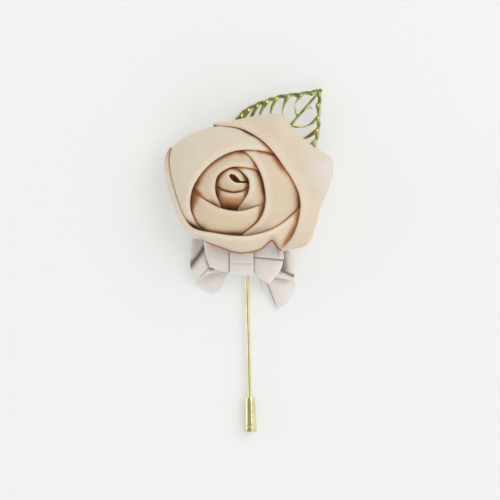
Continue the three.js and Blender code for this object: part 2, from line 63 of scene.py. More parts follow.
class Slot(Enum):
    """The finishes of the record. No piece here is given one of them."""

    SATIN = "satin"
    BOW_SATIN = "bow_satin"
    GILT = "gilt"
    LEAF_GILT = "leaf_gilt"
    FELT = "felt"


class Hold(Enum):
    """How a sheet of ribbon is held."""

    FOLDED = "folded"
    GATHERED = "gathered"


class Pattern(Enum):
    """The two patterns of an uneven surface, as its shared group names them."""

    PATCHES = "Mask"
    GRAIN = "Height"


def smooth_step(low: float, high: float, value: Array) -> Array:
    """A share from 0 at low to 1 at high, level at both ends.

    Args:
        low: Where the share starts to rise.
        high: Where it is full.
        value: The numbers to turn into shares.

    Returns:
        The shares, in the shape of value.
    """
    t = np.clip((value - low) / (high - low), 0.0, 1.0)
    return t * t * (3.0 - 2.0 * t)


def bell(distance: Array, width: float) -> Array:
    """A share that is 1 at no distance and falls off on both sides over a width."""
    return np.exp(-((distance / width) ** 2))


def unit(vectors: Array) -> Array:
    """The same vectors with a length of one."""
    return vectors / np.maximum(np.linalg.norm(vectors, axis=-1, keepdims=True), TINY)


def curve_through(points: Array, shares: Array) -> Array:
    """A smooth centripetal curve through points.

    Args:
        points: The points, one a row.
        shares: Places along it, 0 at its first point and 1 at its last.

    Returns:
        One point for each share.
    """
    last = len(points) - 1
    padded = np.vstack([2 * points[0] - points[1], points, 2 * points[-1] - points[-2]])
    place = np.clip(shares, 0.0, 1.0) * last
    segment = np.minimum(place.astype(int), last - 1)
    w = (place - segment)[:, None]
    p0, p1, p2, p3 = (padded[segment + k] for k in range(4))
    spans = (np.linalg.norm(b - a, axis=1) for a, b in ((p0, p1), (p1, p2), (p2, p3)))
    d0, d1, d2 = (np.sqrt(span)[:, None] for span in spans)
    t1 = ((p1 - p0) / d0 - (p2 - p0) / (d0 + d1) + (p2 - p1) / d1) * d1
    t2 = ((p2 - p1) / d1 - (p3 - p1) / (d1 + d2) + (p3 - p2) / d2) * d1
    return p1 + t1 * w + (3 * (p2 - p1) - 2 * t1 - t2) * w**2 + (2 * (p1 - p2) + t1 + t2) * w**3


def bezier(a: Array, b: Array, c: Array, d: Array, steps: int) -> Array:
    """Cubic curves in steps, one for each row of the four corner arrays.

    Args:
        a: Starts.
        b: First handles.
        c: Second handles.
        d: Ends.
        steps: Steps along each curve.

    Returns:
        Points, by row and step.
    """
    t = np.linspace(0.0, 1.0, steps + 1)[None, :, None]
    u = 1.0 - t
    a, b, c, d = (corner[:, None, :] for corner in (a, b, c, d))
    return u**3 * a + 3 * u**2 * t * b + 3 * u * t**2 * c + t**3 * d


def grid_normals(grid: Array) -> Array:
    """The normals of a grid of points, from each point's neighbours both ways."""
    return unit(np.cross(np.gradient(grid, axis=0), np.gradient(grid, axis=1)))


def run_length(grid: Array, axis: int) -> Array:
    """The distance walked along one axis of a grid of points, from 0."""
    step = np.linalg.norm(np.diff(grid, axis=axis), axis=-1)
    start = np.zeros_like(np.take(step, [0], axis=axis))
    return np.cumsum(np.concatenate([start, step], axis=axis), axis=axis)


def linked(name: str, data: ID) -> Object:
    """A new object at the origin, linked into the scene."""
    made = bpy.data.objects.new(name, data)
    bpy.context.scene.collection.objects.link(made)
    return made


def shade_smooth(mesh: Mesh) -> None:
    """Shades every face of a mesh smooth."""
    mesh.polygons.foreach_set("use_smooth", [True] * len(mesh.polygons))


def signed_volume(points: Array, faces: list) -> float:
    """The volume inside faces, below zero where they face in."""
    total = 0.0
    for face in faces:
        for k in range(1, len(face) - 1):
            a, b, c = points[face[0]], points[face[k]], points[face[k + 1]]
            total += float(np.dot(a, np.cross(b, c)))
    return total


def mesh_object(name: str, points: Array, faces: list, material: Material) -> Object:
    """A smooth mesh object at the origin, with its place in its vertices.

    Args:
        name: The piece's name.
        points: Vertices in millimetres, one a row.
        faces: Corner numbers of each face. They are turned round where they face in.
        material: The finish.

    Returns:
        The object, linked into the scene.
    """
    if signed_volume(points, faces) < 0:
        faces = [face[::-1] for face in faces]
    mesh = bpy.data.meshes.new(name)
    mesh.from_pydata((points * MM).tolist(), [], faces)
    mesh.materials.append(material)
    shade_smooth(mesh)
    mesh.update()
    return linked(name, mesh)


def dress_solid(node: str, material: Material) -> None:
    """Gives a finish to a solid that stands for itself."""
    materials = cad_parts[node].data.materials
    materials.clear()
    materials.append(material)


def settle(piece: Object, body: Body, nodes: tuple[str, ...] = ()) -> None:
    """Rides a piece on its body, logs it and lets it stand for its solids.

    Args:
        piece: The finished piece.
        body: What it moves with.
        nodes: The solids that it replaces.
    """
    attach(piece, body.value)
    if nodes:
        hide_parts(*nodes)
    log.info("%s: %d faces on %s", piece.name, len(piece.data.polygons), body.value)


# Finishes


class Desk:
    """Places nodes in one tree and links them."""

    def __init__(self, tree: NodeTree) -> None:
        """Starts with an empty tree."""
        self.tree = tree
        tree.nodes.clear()

    def feed(self, socket: NodeSocket, value: object) -> None:
        """Links a socket to another one, or sets its value."""
        if isinstance(value, NodeSocket):
            self.tree.links.new(value, socket)
        else:
            socket.default_value = value

    def add(self, kind: str, values: dict | None = None, **settings: object) -> Node:
        """Adds a node.

        Args:
            kind: The node's type.
            values: Socket values by name or number. A socket there is linked.
            settings: The node's own options.

        Returns:
            The node.
        """
        node = self.tree.nodes.new(kind)
        for key, value in settings.items():
            setattr(node, key, value)
        for key, value in (values or {}).items():
            self.feed(node.inputs[key], value)
        return node

    def maths(self, operation: str, first: object, second: object, clamp: bool = False) -> NodeSocket:
        """Adds a sum on two numbers and returns its result."""
        values = {0: first, 1: second}
        return self.add("ShaderNodeMath", values, operation=operation, use_clamp=clamp).outputs[0]

    def mixed(self, share: object, first: object, second: object) -> NodeSocket:
        """Adds a colour mix and returns its result."""
        node = self.add("ShaderNodeMix", data_type="RGBA")
        for key, kind, value in (("Factor", "VALUE", share), ("A", "RGBA", first), ("B", "RGBA", second)):
            socket = next(s for s in node.inputs if s.name == key and s.type == kind)
            self.feed(socket, value)
        return next(s for s in node.outputs if s.type == "RGBA")

    def noise(self, place: NodeSocket, scale: object, detail: float) -> NodeSocket:
        """Adds a noise pattern and returns its height."""
        return self.add("ShaderNodeTexNoise", {"Vector": place, "Scale": scale, "Detail": detail}).outputs[0]

    def between(self, share: NodeSocket, low: float, high: float) -> NodeSocket:
        """Turns shares from 0 to 1 into numbers between low and high."""
        return self.add("ShaderNodeMapRange", {"Value": share, "To Min": low, "To Max": high}).outputs[0]

    def bump(self, height: NodeSocket, distance: float, strength: float) -> NodeSocket:
        """Adds a bump of heights and returns its normal."""
        values = {"Height": height, "Distance": distance, "Strength": strength}
        return self.add("ShaderNodeBump", values).outputs[0]

    def attribute(self, name: str) -> NodeSocket:
        """Reads a number that a mesh carries at its vertices."""
        return self.add("ShaderNodeAttribute", attribute_name=name, attribute_type="GEOMETRY").outputs["Fac"]

    def principled(self, values: dict) -> None:
        """Adds the shader with its values and sends it out."""
        shader = self.add("ShaderNodeBsdfPrincipled", values)
        self.add("ShaderNodeOutputMaterial", {"Surface": shader.outputs[0]})


def opaque(colour: Colour) -> tuple[float, float, float, float]:
    """A colour with full alpha."""
    return (*colour, 1.0)


def new_group(name: str, kind: str, inputs: dict, outputs: dict) -> tuple[Desk, Node]:
    """A new node group with named sockets.

    Args:
        name: The group's name.
        kind: The kind of tree.
        inputs: Each input's socket type and value.
        outputs: Each output's socket type.

    Returns:
        The desk of its tree, and its input node.
    """
    tree = bpy.data.node_groups.new(name, kind)
    for key, (socket_type, value) in inputs.items():
        socket = tree.interface.new_socket(key, in_out="INPUT", socket_type=socket_type)
        if value is not None:
            socket.default_value = value
    for key, socket_type in outputs.items():
        tree.interface.new_socket(key, in_out="OUTPUT", socket_type=socket_type)
    desk = Desk(tree)
    return desk, desk.add("NodeGroupInput")


def weave_group() -> NodeTree:
    """Satin weave on a ribbon's own millimetres: long floats, their threads and slow waves of shade."""
    thread_height, float_shade, wave_shade, wave_scale = 0.35, 0.35, 0.65, 0.16
    inputs = {
        "Ribbon": ("NodeSocketVector", None),
        "Threads": ("NodeSocketFloat", 6.0),
        "Float length": ("NodeSocketFloat", 1.2),
    }
    outputs = {"Height": "NodeSocketFloat", "Shade": "NodeSocketFloat"}
    desk, start = new_group("satin_weave", "ShaderNodeTree", inputs, outputs)
    split = desk.add("ShaderNodeSeparateXYZ", {0: start.outputs["Ribbon"]})
    across = desk.maths("MULTIPLY", split.outputs["Y"], start.outputs["Threads"])
    along = desk.maths("DIVIDE", split.outputs["X"], start.outputs["Float length"])
    stretched = desk.add("ShaderNodeCombineXYZ", {"X": along, "Y": across})
    floats = desk.noise(stretched.outputs[0], 1.0, 2.0)
    slow = desk.noise(start.outputs["Ribbon"], wave_scale, 1.0)
    threads = desk.maths("SINE", desk.maths("MULTIPLY", across, math.tau), 0.0)
    height = desk.maths("ADD", desk.maths("MULTIPLY", threads, thread_height), floats)
    in_floats = desk.maths("MULTIPLY", floats, float_shade)
    shade = desk.maths("ADD", in_floats, desk.maths("MULTIPLY", slow, wave_shade))
    desk.add("NodeGroupOutput", {"Height": height, "Shade": shade})
    return desk.tree


def mottle_group() -> NodeTree:
    """Uneven surface of cast, plated or pressed pieces: a slow mask and a fine height."""
    inputs = {
        "Place": ("NodeSocketVector", None),
        "Patches": ("NodeSocketFloat", 300.0),
        "Grain": ("NodeSocketFloat", 3000.0),
    }
    outputs = {pattern.value: "NodeSocketFloat" for pattern in Pattern}
    desk, start = new_group("mottle", "ShaderNodeTree", inputs, outputs)
    patches = desk.noise(start.outputs["Place"], start.outputs["Patches"], 3.0)
    grain = desk.noise(start.outputs["Place"], start.outputs["Grain"], 4.0)
    mask = desk.add("ShaderNodeMapRange", {"Value": patches, "From Min": 0.35, "From Max": 0.65})
    desk.add("NodeGroupOutput", {Pattern.PATCHES.value: mask.outputs[0], Pattern.GRAIN.value: grain})
    return desk.tree


def new_material(name: str) -> tuple[Material, Desk]:
    """An empty node material and the desk of its tree."""
    material = bpy.data.materials.new(name)
    material.use_nodes = True
    return material, Desk(material.node_tree)


@dataclass(frozen=True)
class SatinFinish:
    """Satin ribbon: a pale face, a painted warm shade in its folds, painted light and highlights, thread
    floats and a soft sheen.

    Attributes:
        name: The material's name.
        face: The tone of the face.
        pale: The same where the floats catch the light.
        painted_light_tone: The tone where the ribbon lies open to the light: painted light.
        rim: The tone of a rolled rim: a painted highlight.
        fold: The tone of warm painted shade in a fold, at half a shade mark.
        deep: The tone of deep painted shade, at a whole one.
        line: The tone of a painted shadow line, at a mark and a half.
        roughness: How rough it is between its floats.
        rough_span: How far that goes down and up with the weave.
        painted_glow: A painted glow in deep folds, for the light that comes through the ribbon.
        sheen: How strong the sheen is.
        sheen_tint: The sheen's colour.
        glow: How much light spreads under the face.
        threads: Threads a millimetre.
        relief: The weave's height in metres.
        press: How strong that relief is.
    """

    name: str
    face: Colour
    pale: Colour
    painted_light_tone: Colour
    rim: Colour
    fold: Colour
    deep: Colour
    line: Colour
    roughness: float = 0.42
    rough_span: Pair = (-0.05, 0.06)
    painted_glow: Colour = (0.0, 0.0, 0.0)
    sheen: float = 0.12
    sheen_tint: Colour = (1.0, 0.75, 0.55)
    glow: float = 0.2
    threads: float = 7.0
    relief: float = 0.00003
    press: float = 0.6

    def painted_light_and_shade(self, desk: Desk, woven: NodeSocket) -> tuple[NodeSocket, NodeSocket]:
        """Adds painted light on open parts, a painted highlight on rolled rims and painted shade in folds.

        Args:
            desk: The material's desk.
            woven: The tone of the plain weave.

        Returns:
            The colour, and the painted glow in deep folds.
        """
        # Painted light on open parts, then a painted highlight on rolled rims.
        opened = desk.mixed(desk.attribute("open"), woven, opaque(self.painted_light_tone))
        face = desk.mixed(desk.attribute("rim"), opened, opaque(self.rim))
        # The fold attribute paints shade: warm up to half, deep up to one, a shadow line up to one and a
        # half; the glow is painted too.
        doubled = desk.maths("MULTIPLY", desk.attribute("fold"), 2.0)
        warm, dark, drawn = (desk.maths("SUBTRACT", doubled, start, clamp=True) for start in (0.0, 1.0, 2.0))
        shaded = desk.mixed(dark, desk.mixed(warm, face, opaque(self.fold)), opaque(self.deep))
        painted_glow = desk.mixed(dark, opaque((0.0, 0.0, 0.0)), opaque(self.painted_glow))
        return desk.mixed(drawn, shaded, opaque(self.line)), painted_glow

    def material(self, weave: NodeTree) -> Material:
        """Builds the node material on the shared weave group."""
        material, desk = new_material(self.name)
        ribbon = desk.add("ShaderNodeUVMap", uv_map="ribbon")
        values = {"Ribbon": ribbon.outputs[0], "Threads": self.threads}
        threads = desk.add("ShaderNodeGroup", values, node_tree=weave)
        shade = threads.outputs["Shade"]
        colour, painted_glow = self.painted_light_and_shade(desk, desk.mixed(shade, opaque(self.face), opaque(self.pale)))
        low, high = (self.roughness + change for change in self.rough_span)
        desk.principled(
            {
                "Base Color": colour,
                "Roughness": desk.between(shade, low, high),
                "Normal": desk.bump(threads.outputs["Height"], self.relief, self.press),
                "Sheen Weight": self.sheen,
                "Sheen Roughness": 0.4,
                "Sheen Tint": opaque(self.sheen_tint),
                "Specular IOR Level": 0.3,
                # Painted glow in deep folds, standing in for light through the ribbon.
                "Emission Color": painted_glow,
                "Emission Strength": 1.0,
                "Subsurface Weight": self.glow,
                "Subsurface Radius": (1.0, 0.5, 0.25),
                "Subsurface Scale": 0.0008,
            }
        )
        return material


@dataclass(frozen=True)
class PlainFinish:
    """Gilt, felt, stiff cloth or nylon: two tones, uneven roughness and a fine grain.

    Attributes:
        name: The material's name.
        first: The tone where the pattern is low.
        second: The tone where it is high.
        toned_by: The pattern that the tones follow.
        smooth: The roughness between the patches.
        dull: The roughness on them.
        patches: Patches a metre.
        grain: Grains a metre.
        relief: The grain's height in metres.
        press: How strong that relief is.
        metallic: 1 for metal.
        sheen: How strong the sheen of its fibres is.
    """

    name: str
    first: Colour
    second: Colour
    toned_by: Pattern
    smooth: float
    dull: float
    patches: float
    grain: float
    relief: float
    press: float
    metallic: float = 0.0
    sheen: float = 0.0

    def material(self, mottle: NodeTree) -> Material:
        """Builds the node material on the shared mottle group."""
        material, desk = new_material(self.name)
        place = desk.add("ShaderNodeTexCoord").outputs["Object"]
        values = {"Place": place, "Patches": self.patches, "Grain": self.grain}
        spots = desk.add("ShaderNodeGroup", values, node_tree=mottle)
        share = spots.outputs[self.toned_by.value]
        desk.principled(
            {
                "Base Color": desk.mixed(share, opaque(self.first), opaque(self.second)),
                "Metallic": self.metallic,
                "Roughness": desk.between(spots.outputs[Pattern.PATCHES.value], self.smooth, self.dull),
                "Normal": desk.bump(spots.outputs[Pattern.GRAIN.value], self.relief, self.press),
                "Sheen Weight": self.sheen,
            }
        )
        return material


@dataclass
class Finishes:
    """Every finish of the boutonniere, built once."""

    champagne: SatinFinish = SatinFinish(
        "champagne_satin",
        face=(0.66, 0.56, 0.41),
        pale=(0.74, 0.65, 0.50),
        # Painted light on open parts, and a painted highlight on rims.
        painted_light_tone=(0.70, 0.675, 0.61),
        rim=(0.78, 0.68, 0.56),
        # Painted shade in folds, deeper shade and shadow lines, then a painted glow.
        fold=(0.58, 0.33, 0.155),
        deep=(0.38, 0.16, 0.06),
        line=(0.15, 0.06, 0.02),
        painted_glow=(0.03, 0.0115, 0.0045),
    )
    lilac: SatinFinish = SatinFinish(
        "lilac_satin",
        face=(0.79, 0.73, 0.695),
        pale=(0.88, 0.845, 0.82),
        # Painted light on open parts, and a painted highlight on rims.
        painted_light_tone=(0.87, 0.89, 0.88),
        rim=(0.90, 0.88, 0.86),
        # Painted shade in folds, deeper shade and shadow lines.
        fold=(0.46, 0.40, 0.37),
        deep=(0.17, 0.13, 0.11),
        line=(0.08, 0.06, 0.05),
        roughness=0.5,
        sheen_tint=(0.95, 0.95, 1.0),
        glow=0.1,
    )
    gold: PlainFinish = PlainFinish(
        "pale_gold",
        first=(0.86, 0.79, 0.46),
        second=(0.73, 0.66, 0.33),
        toned_by=Pattern.PATCHES,
        smooth=0.14,
        dull=0.22,
        patches=180.0,
        grain=4000.0,
        relief=0.000004,
        press=0.5,
        metallic=1.0,
    )
    leaf_gilt: PlainFinish = PlainFinish(
        "olive_gilt",
        first=(0.62, 0.61, 0.24),
        second=(0.20, 0.20, 0.06),
        toned_by=Pattern.PATCHES,
        smooth=0.2,
        dull=0.4,
        patches=420.0,
        grain=2600.0,
        relief=0.00006,
        press=0.5,
        metallic=1.0,
    )
    felt: PlainFinish = PlainFinish(
        "ivory_felt",
        first=(0.60, 0.55, 0.47),
        second=(0.80, 0.76, 0.68),
        toned_by=Pattern.GRAIN,
        smooth=0.9,
        dull=0.98,
        patches=500.0,
        grain=3500.0,
        relief=0.0003,
        press=0.8,
        sheen=0.4,
    )
    buckram: PlainFinish = PlainFinish(
        "stiff_cloth",
        first=(0.55, 0.48, 0.38),
        second=(0.74, 0.68, 0.58),
        toned_by=Pattern.GRAIN,
        smooth=0.8,
        dull=0.88,
        patches=300.0,
        grain=2200.0,
        relief=0.0001,
        press=0.8,
    )
    nylon: PlainFinish = PlainFinish(
        "natural_nylon",
        first=(0.74, 0.73, 0.66),
        second=(0.82, 0.81, 0.75),
        toned_by=Pattern.GRAIN,
        smooth=0.45,
        dull=0.53,
        patches=900.0,
        grain=5000.0,
        relief=0.00002,
        press=0.8,
    )
    made: dict = field(default_factory=dict)

    def build(self) -> None:
        """Makes the shared groups and every material."""
        weave = weave_group()
        mottle = mottle_group()
        for finish in (self.champagne, self.lilac):
            self.made[finish.name] = finish.material(weave)
        for finish in (self.gold, self.leaf_gilt, self.felt, self.buckram, self.nylon):
            self.made[finish.name] = finish.material(mottle)

    def of(self, finish: SatinFinish | PlainFinish) -> Material:
        """The material built for a finish."""
        return self.made[finish.name]


# Ribbon


@dataclass
class Ribbon:
    """A sheet of ribbon as one closed mesh: a grid of its face, its depth, and rounded edges.

    Attributes:
        name: The piece's name.
        grid: Points of its face in millimetres, along the ribbon first and then across.
        depth: How far its back lies behind each point, or behind all.
        face_shade_marks: Painted shade on its face: 0.5 is warm shade, 1 dark shade and 1.5 a painted shadow
            line.
        back_shade_marks: The same painted shade on its back.
        painted_light: How far its face takes the painted light tone.
        rim: How far it takes the painted highlight of a rolled rim.
        edge_steps: Points round each edge.
        shade_most: The greatest painted shade mark.
    """

    name: str
    grid: Array
    depth: Array | float
    face_shade_marks: Array | float
    back_shade_marks: Array | float
    painted_light: Array | float = 0.0
    rim: Array | float = 0.0
    edge_steps: int = 3
    shade_most: float = 1.5

    def __post_init__(self) -> None:
        """Gives each point of the face its own number where there was one for all."""
        for name in ("depth", "face_shade_marks", "back_shade_marks", "painted_light", "rim"):
            setattr(self, name, np.broadcast_to(getattr(self, name), self.grid.shape[:2]))

    def rounded(self, back: Array, normals: Array, edge: int, inner: int) -> Array:
        """The half-round edge between face and back at one side of the ribbon.

        Args:
            back: The grid's back.
            normals: The face's normals.
            edge: The row of the edge.
            inner: The row beside it.

        Returns:
            Points along the ribbon, from the face round to the back.
        """
        middle = (self.grid[:, edge] + back[:, edge]) / 2
        outward = self.grid[:, edge] - self.grid[:, inner]
        n = normals[:, edge]
        outward = unit(outward - np.sum(outward * n, axis=1, keepdims=True) * n)
        half = self.depth[:, edge, None] / 2
        turns = math.pi * np.arange(1, self.edge_steps + 1) / (self.edge_steps + 1)
        arcs = [middle + (n * math.cos(t) + outward * math.sin(t)) * half for t in turns]
        return np.stack(arcs, axis=1)

    def build(self, material: Material) -> Object:
        """Makes the mesh, with the ribbon's millimetres as UV and its painted light and shade marks as
        attributes.

        Args:
            material: The satin.

        Returns:
            The object.
        """
        normals = grid_normals(self.grid)
        back = self.grid - normals * self.depth[..., None]
        far = self.rounded(back, normals, -1, -2)
        near = self.rounded(back, normals, 0, 1)[:, ::-1]
        ring = np.concatenate([self.grid, far, back[:, ::-1], near], axis=1)
        columns, around = ring.shape[:2]
        faces = []
        for j in range(columns - 1):
            for i in range(around):
                a, b = j * around + i, j * around + (i + 1) % around
                faces.append((a, b, b + around, a + around))
        faces.extend(self.end_cap(0, around, True))
        faces.extend(self.end_cap((columns - 1) * around, around, False))
        piece = mesh_object(self.name, ring.reshape(-1, 3), faces, material)
        self.mark(piece.data)
        return piece

    def end_cap(self, start: int, around: int, flip: bool) -> list:
        """The faces that close one end of the ribbon.

        Args:
            start: The first vertex of the end's ring.
            around: Points round the ring.
            flip: Whether the corners run the other way.

        Returns:
            The faces.
        """
        rows = self.grid.shape[1]
        last = 2 * rows + self.edge_steps - 1
        faces = [(i, i + 1, last - i - 1, last - i) for i in range(rows - 1)]
        faces.append(tuple(range(rows - 1, rows + self.edge_steps + 1)))
        faces.append((0, last, *range(last + 1, around)))
        turned = [face[::-1] if flip else face for face in faces]
        return [tuple(start + k for k in face) for face in turned]

    def mark(self, mesh: Mesh) -> None:
        """Writes the ribbon's own millimetres to a UV map and its painted light and shade marks to
        attributes.
        """
        across = run_length(self.grid, 1)
        side = self.round_trip(across, across)
        along = np.broadcast_to(run_length(self.grid, 0).mean(axis=1)[:, None], side.shape)
        flat = np.stack([along.reshape(-1), side.reshape(-1)], axis=1).astype(np.float32)
        corners = np.zeros(len(mesh.loops), dtype=np.int32)
        mesh.loops.foreach_get("vertex_index", corners)
        mesh.uv_layers.new(name="ribbon").data.foreach_set("uv", flat[corners].reshape(-1))
        plain = np.zeros_like(across)
        # The fold attribute holds painted shade, open holds painted light and rim a painted highlight along
        # rolled rims.
        marks = (
            ("fold", self.face_shade_marks, self.back_shade_marks, self.shade_most),
            ("open", self.painted_light, plain, 1.0),
            ("rim", self.rim, plain, 1.0),
        )
        for name, face, back, most in marks:
            values = np.clip(self.round_trip(face, back), 0, most).astype(np.float32)
            mesh.attributes.new(name, "FLOAT", "POINT").data.foreach_set("value", values.reshape(-1))

    def round_trip(self, face: Array, back: Array) -> Array:
        """Numbers on face and back, run round the ribbon and blended over its two edges."""
        share = np.linspace(0, 1, self.edge_steps + 2)[None, 1:-1]
        far = face[:, -1:] * (1 - share) + back[:, -1:] * share
        near = back[:, :1] * (1 - share) + face[:, :1] * share
        return np.concatenate([face, far, back[:, ::-1], near], axis=1)


# Bloom


@dataclass(frozen=True)
class ShadeStroke:
    """A painted shadow line in a corner of a face, along a path as seen from above, in millimetres.

    Attributes:
        path: Points of the path.
        width: Half the line's width.
        shade: How dark the painted shadow is.
        fade: Over what share of its length each end fades out.
        fineness: Steps along it for each point of the path.
    """

    path: tuple[Pair, ...]
    width: float
    shade: float
    fade: float = 0.2
    fineness: int = 12

    def marks(self, grid: Array) -> Array:
        """How much painted shadow the line gives each point of a face."""
        path = np.array(self.path)
        corners = np.arange(len(path))
        steps = np.linspace(0, len(path) - 1, self.fineness * len(path))
        line = np.stack([np.interp(steps, corners, path[:, axis]) for axis in (0, 1)], axis=1)
        away = np.linalg.norm(grid[:, :, None, :2] - line, axis=-1)
        share = away.argmin(axis=2) / (len(line) - 1)
        strength = smooth_step(0.0, self.fade, np.minimum(share, 1 - share))
        return self.shade * strength * bell(away.min(axis=2), self.width)


@dataclass
class Petal:
    """One folded piece of ribbon.

    Attributes:
        name: The solid that it replaces.
        centre: The point that its turned edge runs round.
        stations: Points of its rim, each with the point where it turns under.
        phase: Where its waves start.
        waves: The height of its slow waves, in millimetres.
        bead: The height of the roll along its rim.
        bead_run: How wide that roll is, against other petals.
        painted_light: How much of the painted light tone it takes.
        lobe: The place and radius of a painted highlight, a part that takes all of that tone.
        shadow: How far the painted shade from the rims beside it spreads onto its face, against other petals.
        cast: How far its own rim's painted shade spreads onto the faces inside it.
        bulk: Its thickness, against other petals.
        gap: The gap between its face and the rims outside it.
        shade: The least painted shade on its face.
        shade_ramp: Distances from its rim where painted shade on its face starts and where it is full.
        tip_shade: How strong the warm painted shade at its two ends is.
        tip_reach: How far that painted shade runs along it.
        strokes: Painted shadow lines in its corners.
        hem: How dark the painted shadow on the hem along its turned edge is.
        hem_runs: Where that hem starts and ends, in station numbers.
        hem_roll: How far the hem stands out.
    """

    name: str
    centre: Pair
    stations: list[Station]
    phase: float = 0.0
    waves: float = 0.12
    bead: float = 0.12
    bead_run: float = 1.0
    painted_light: float = 0.0
    lobe: Triple | None = None
    shadow: float = 1.0
    cast: float = 1.0
    bulk: float = 1.0
    gap: float = 0.12
    shade: float = 0.0
    shade_ramp: Pair | None = None
    tip_shade: float = 0.0
    tip_reach: float = 3.0
    strokes: tuple[ShadeStroke, ...] = ()
    hem: float = 0.0
    hem_runs: tuple[Pair, ...] = ()
    hem_roll: float = 0.65

    def rim(self, shares: Array) -> Array:
        """Points of its rim at shares of its length."""
        return curve_through(np.array(self.stations, dtype=float)[:, :3], shares)

    def edge(self, shares: Array) -> Array:
        """Points of its turned edge at shares of its length."""
        return curve_through(np.array(self.stations, dtype=float)[:, 3:], shares)

    def painted_light_marks(self, grid: Array) -> Array:
        """How much painted light each point takes, with a painted highlight round the lobe."""
        marks = np.full(grid.shape[:2], self.painted_light)
        if self.lobe:
            away = np.linalg.norm(grid[..., :2] - np.array(self.lobe[:2]), axis=-1)
            marks = np.maximum(marks, bell(away, self.lobe[2]))
        return marks


@dataclass(frozen=True)
class Waves:
    """The unevenness of a hand-folded face. Turns are radians a millimetre, heights millimetres.

    Attributes:
        slow: Slow waves: turn along, turn across, share of the height, and how far each is shifted.
        belly: How soon the slow waves swell and die out across the face.
        gather_turn: The turn of the gathers along the foot.
        gather_drift: How far the gathers stray, and the turn of that.
        gather_height: Their height.
        gather_span: Where across the face they start and where they are full.
        crest: The rolled rim's crest: how far in, and how wide.
        trough: The trough beside it: how far in, how wide, and how deep against the crest.
    """

    slow: tuple = ((0.31, 0.22, 1.0, 1.0), (0.83, -0.4, 0.6, 2.1))
    belly: float = 1.6
    gather_turn: float = 2.1
    gather_drift: Pair = (1.7, 0.37)
    gather_height: float = 0.11
    gather_span: Pair = (0.55, 0.95)
    crest: Pair = (0.5, 0.7)
    trough: Triple = (2.2, 0.9, 0.7)

    def offset(self, grid: Array, petal: Petal) -> Array:
        """How far each point of a petal's face stands off its smooth shape.

        Args:
            grid: The smooth face.
            petal: Whose face it is.

        Returns:
            Millimetres along the face's normals.
        """
        along = run_length(grid, 0).mean(axis=1)[:, None]
        across = run_length(grid, 1)
        share = across / across[:, -1:]
        slow = np.zeros_like(across)
        for turn_along, turn_across, height, shift in self.slow:
            slow += height * np.sin(along * turn_along + across * turn_across + shift * petal.phase)
        belly = np.sin(math.pi * np.clip(share * self.belly, 0, 1))
        stray, turn = self.gather_drift
        gathers = np.sin(along * self.gather_turn + stray * np.sin(along * turn + petal.phase))
        pull = self.gather_height * smooth_step(*self.gather_span, share)
        out = across / petal.bead_run
        crest = bell(out - self.crest[0], self.crest[1])
        trough = self.trough[2] * bell(out - self.trough[0], self.trough[1])
        return petal.waves * slow * belly + (gathers - 1) * pull + petal.bead * (crest - trough)


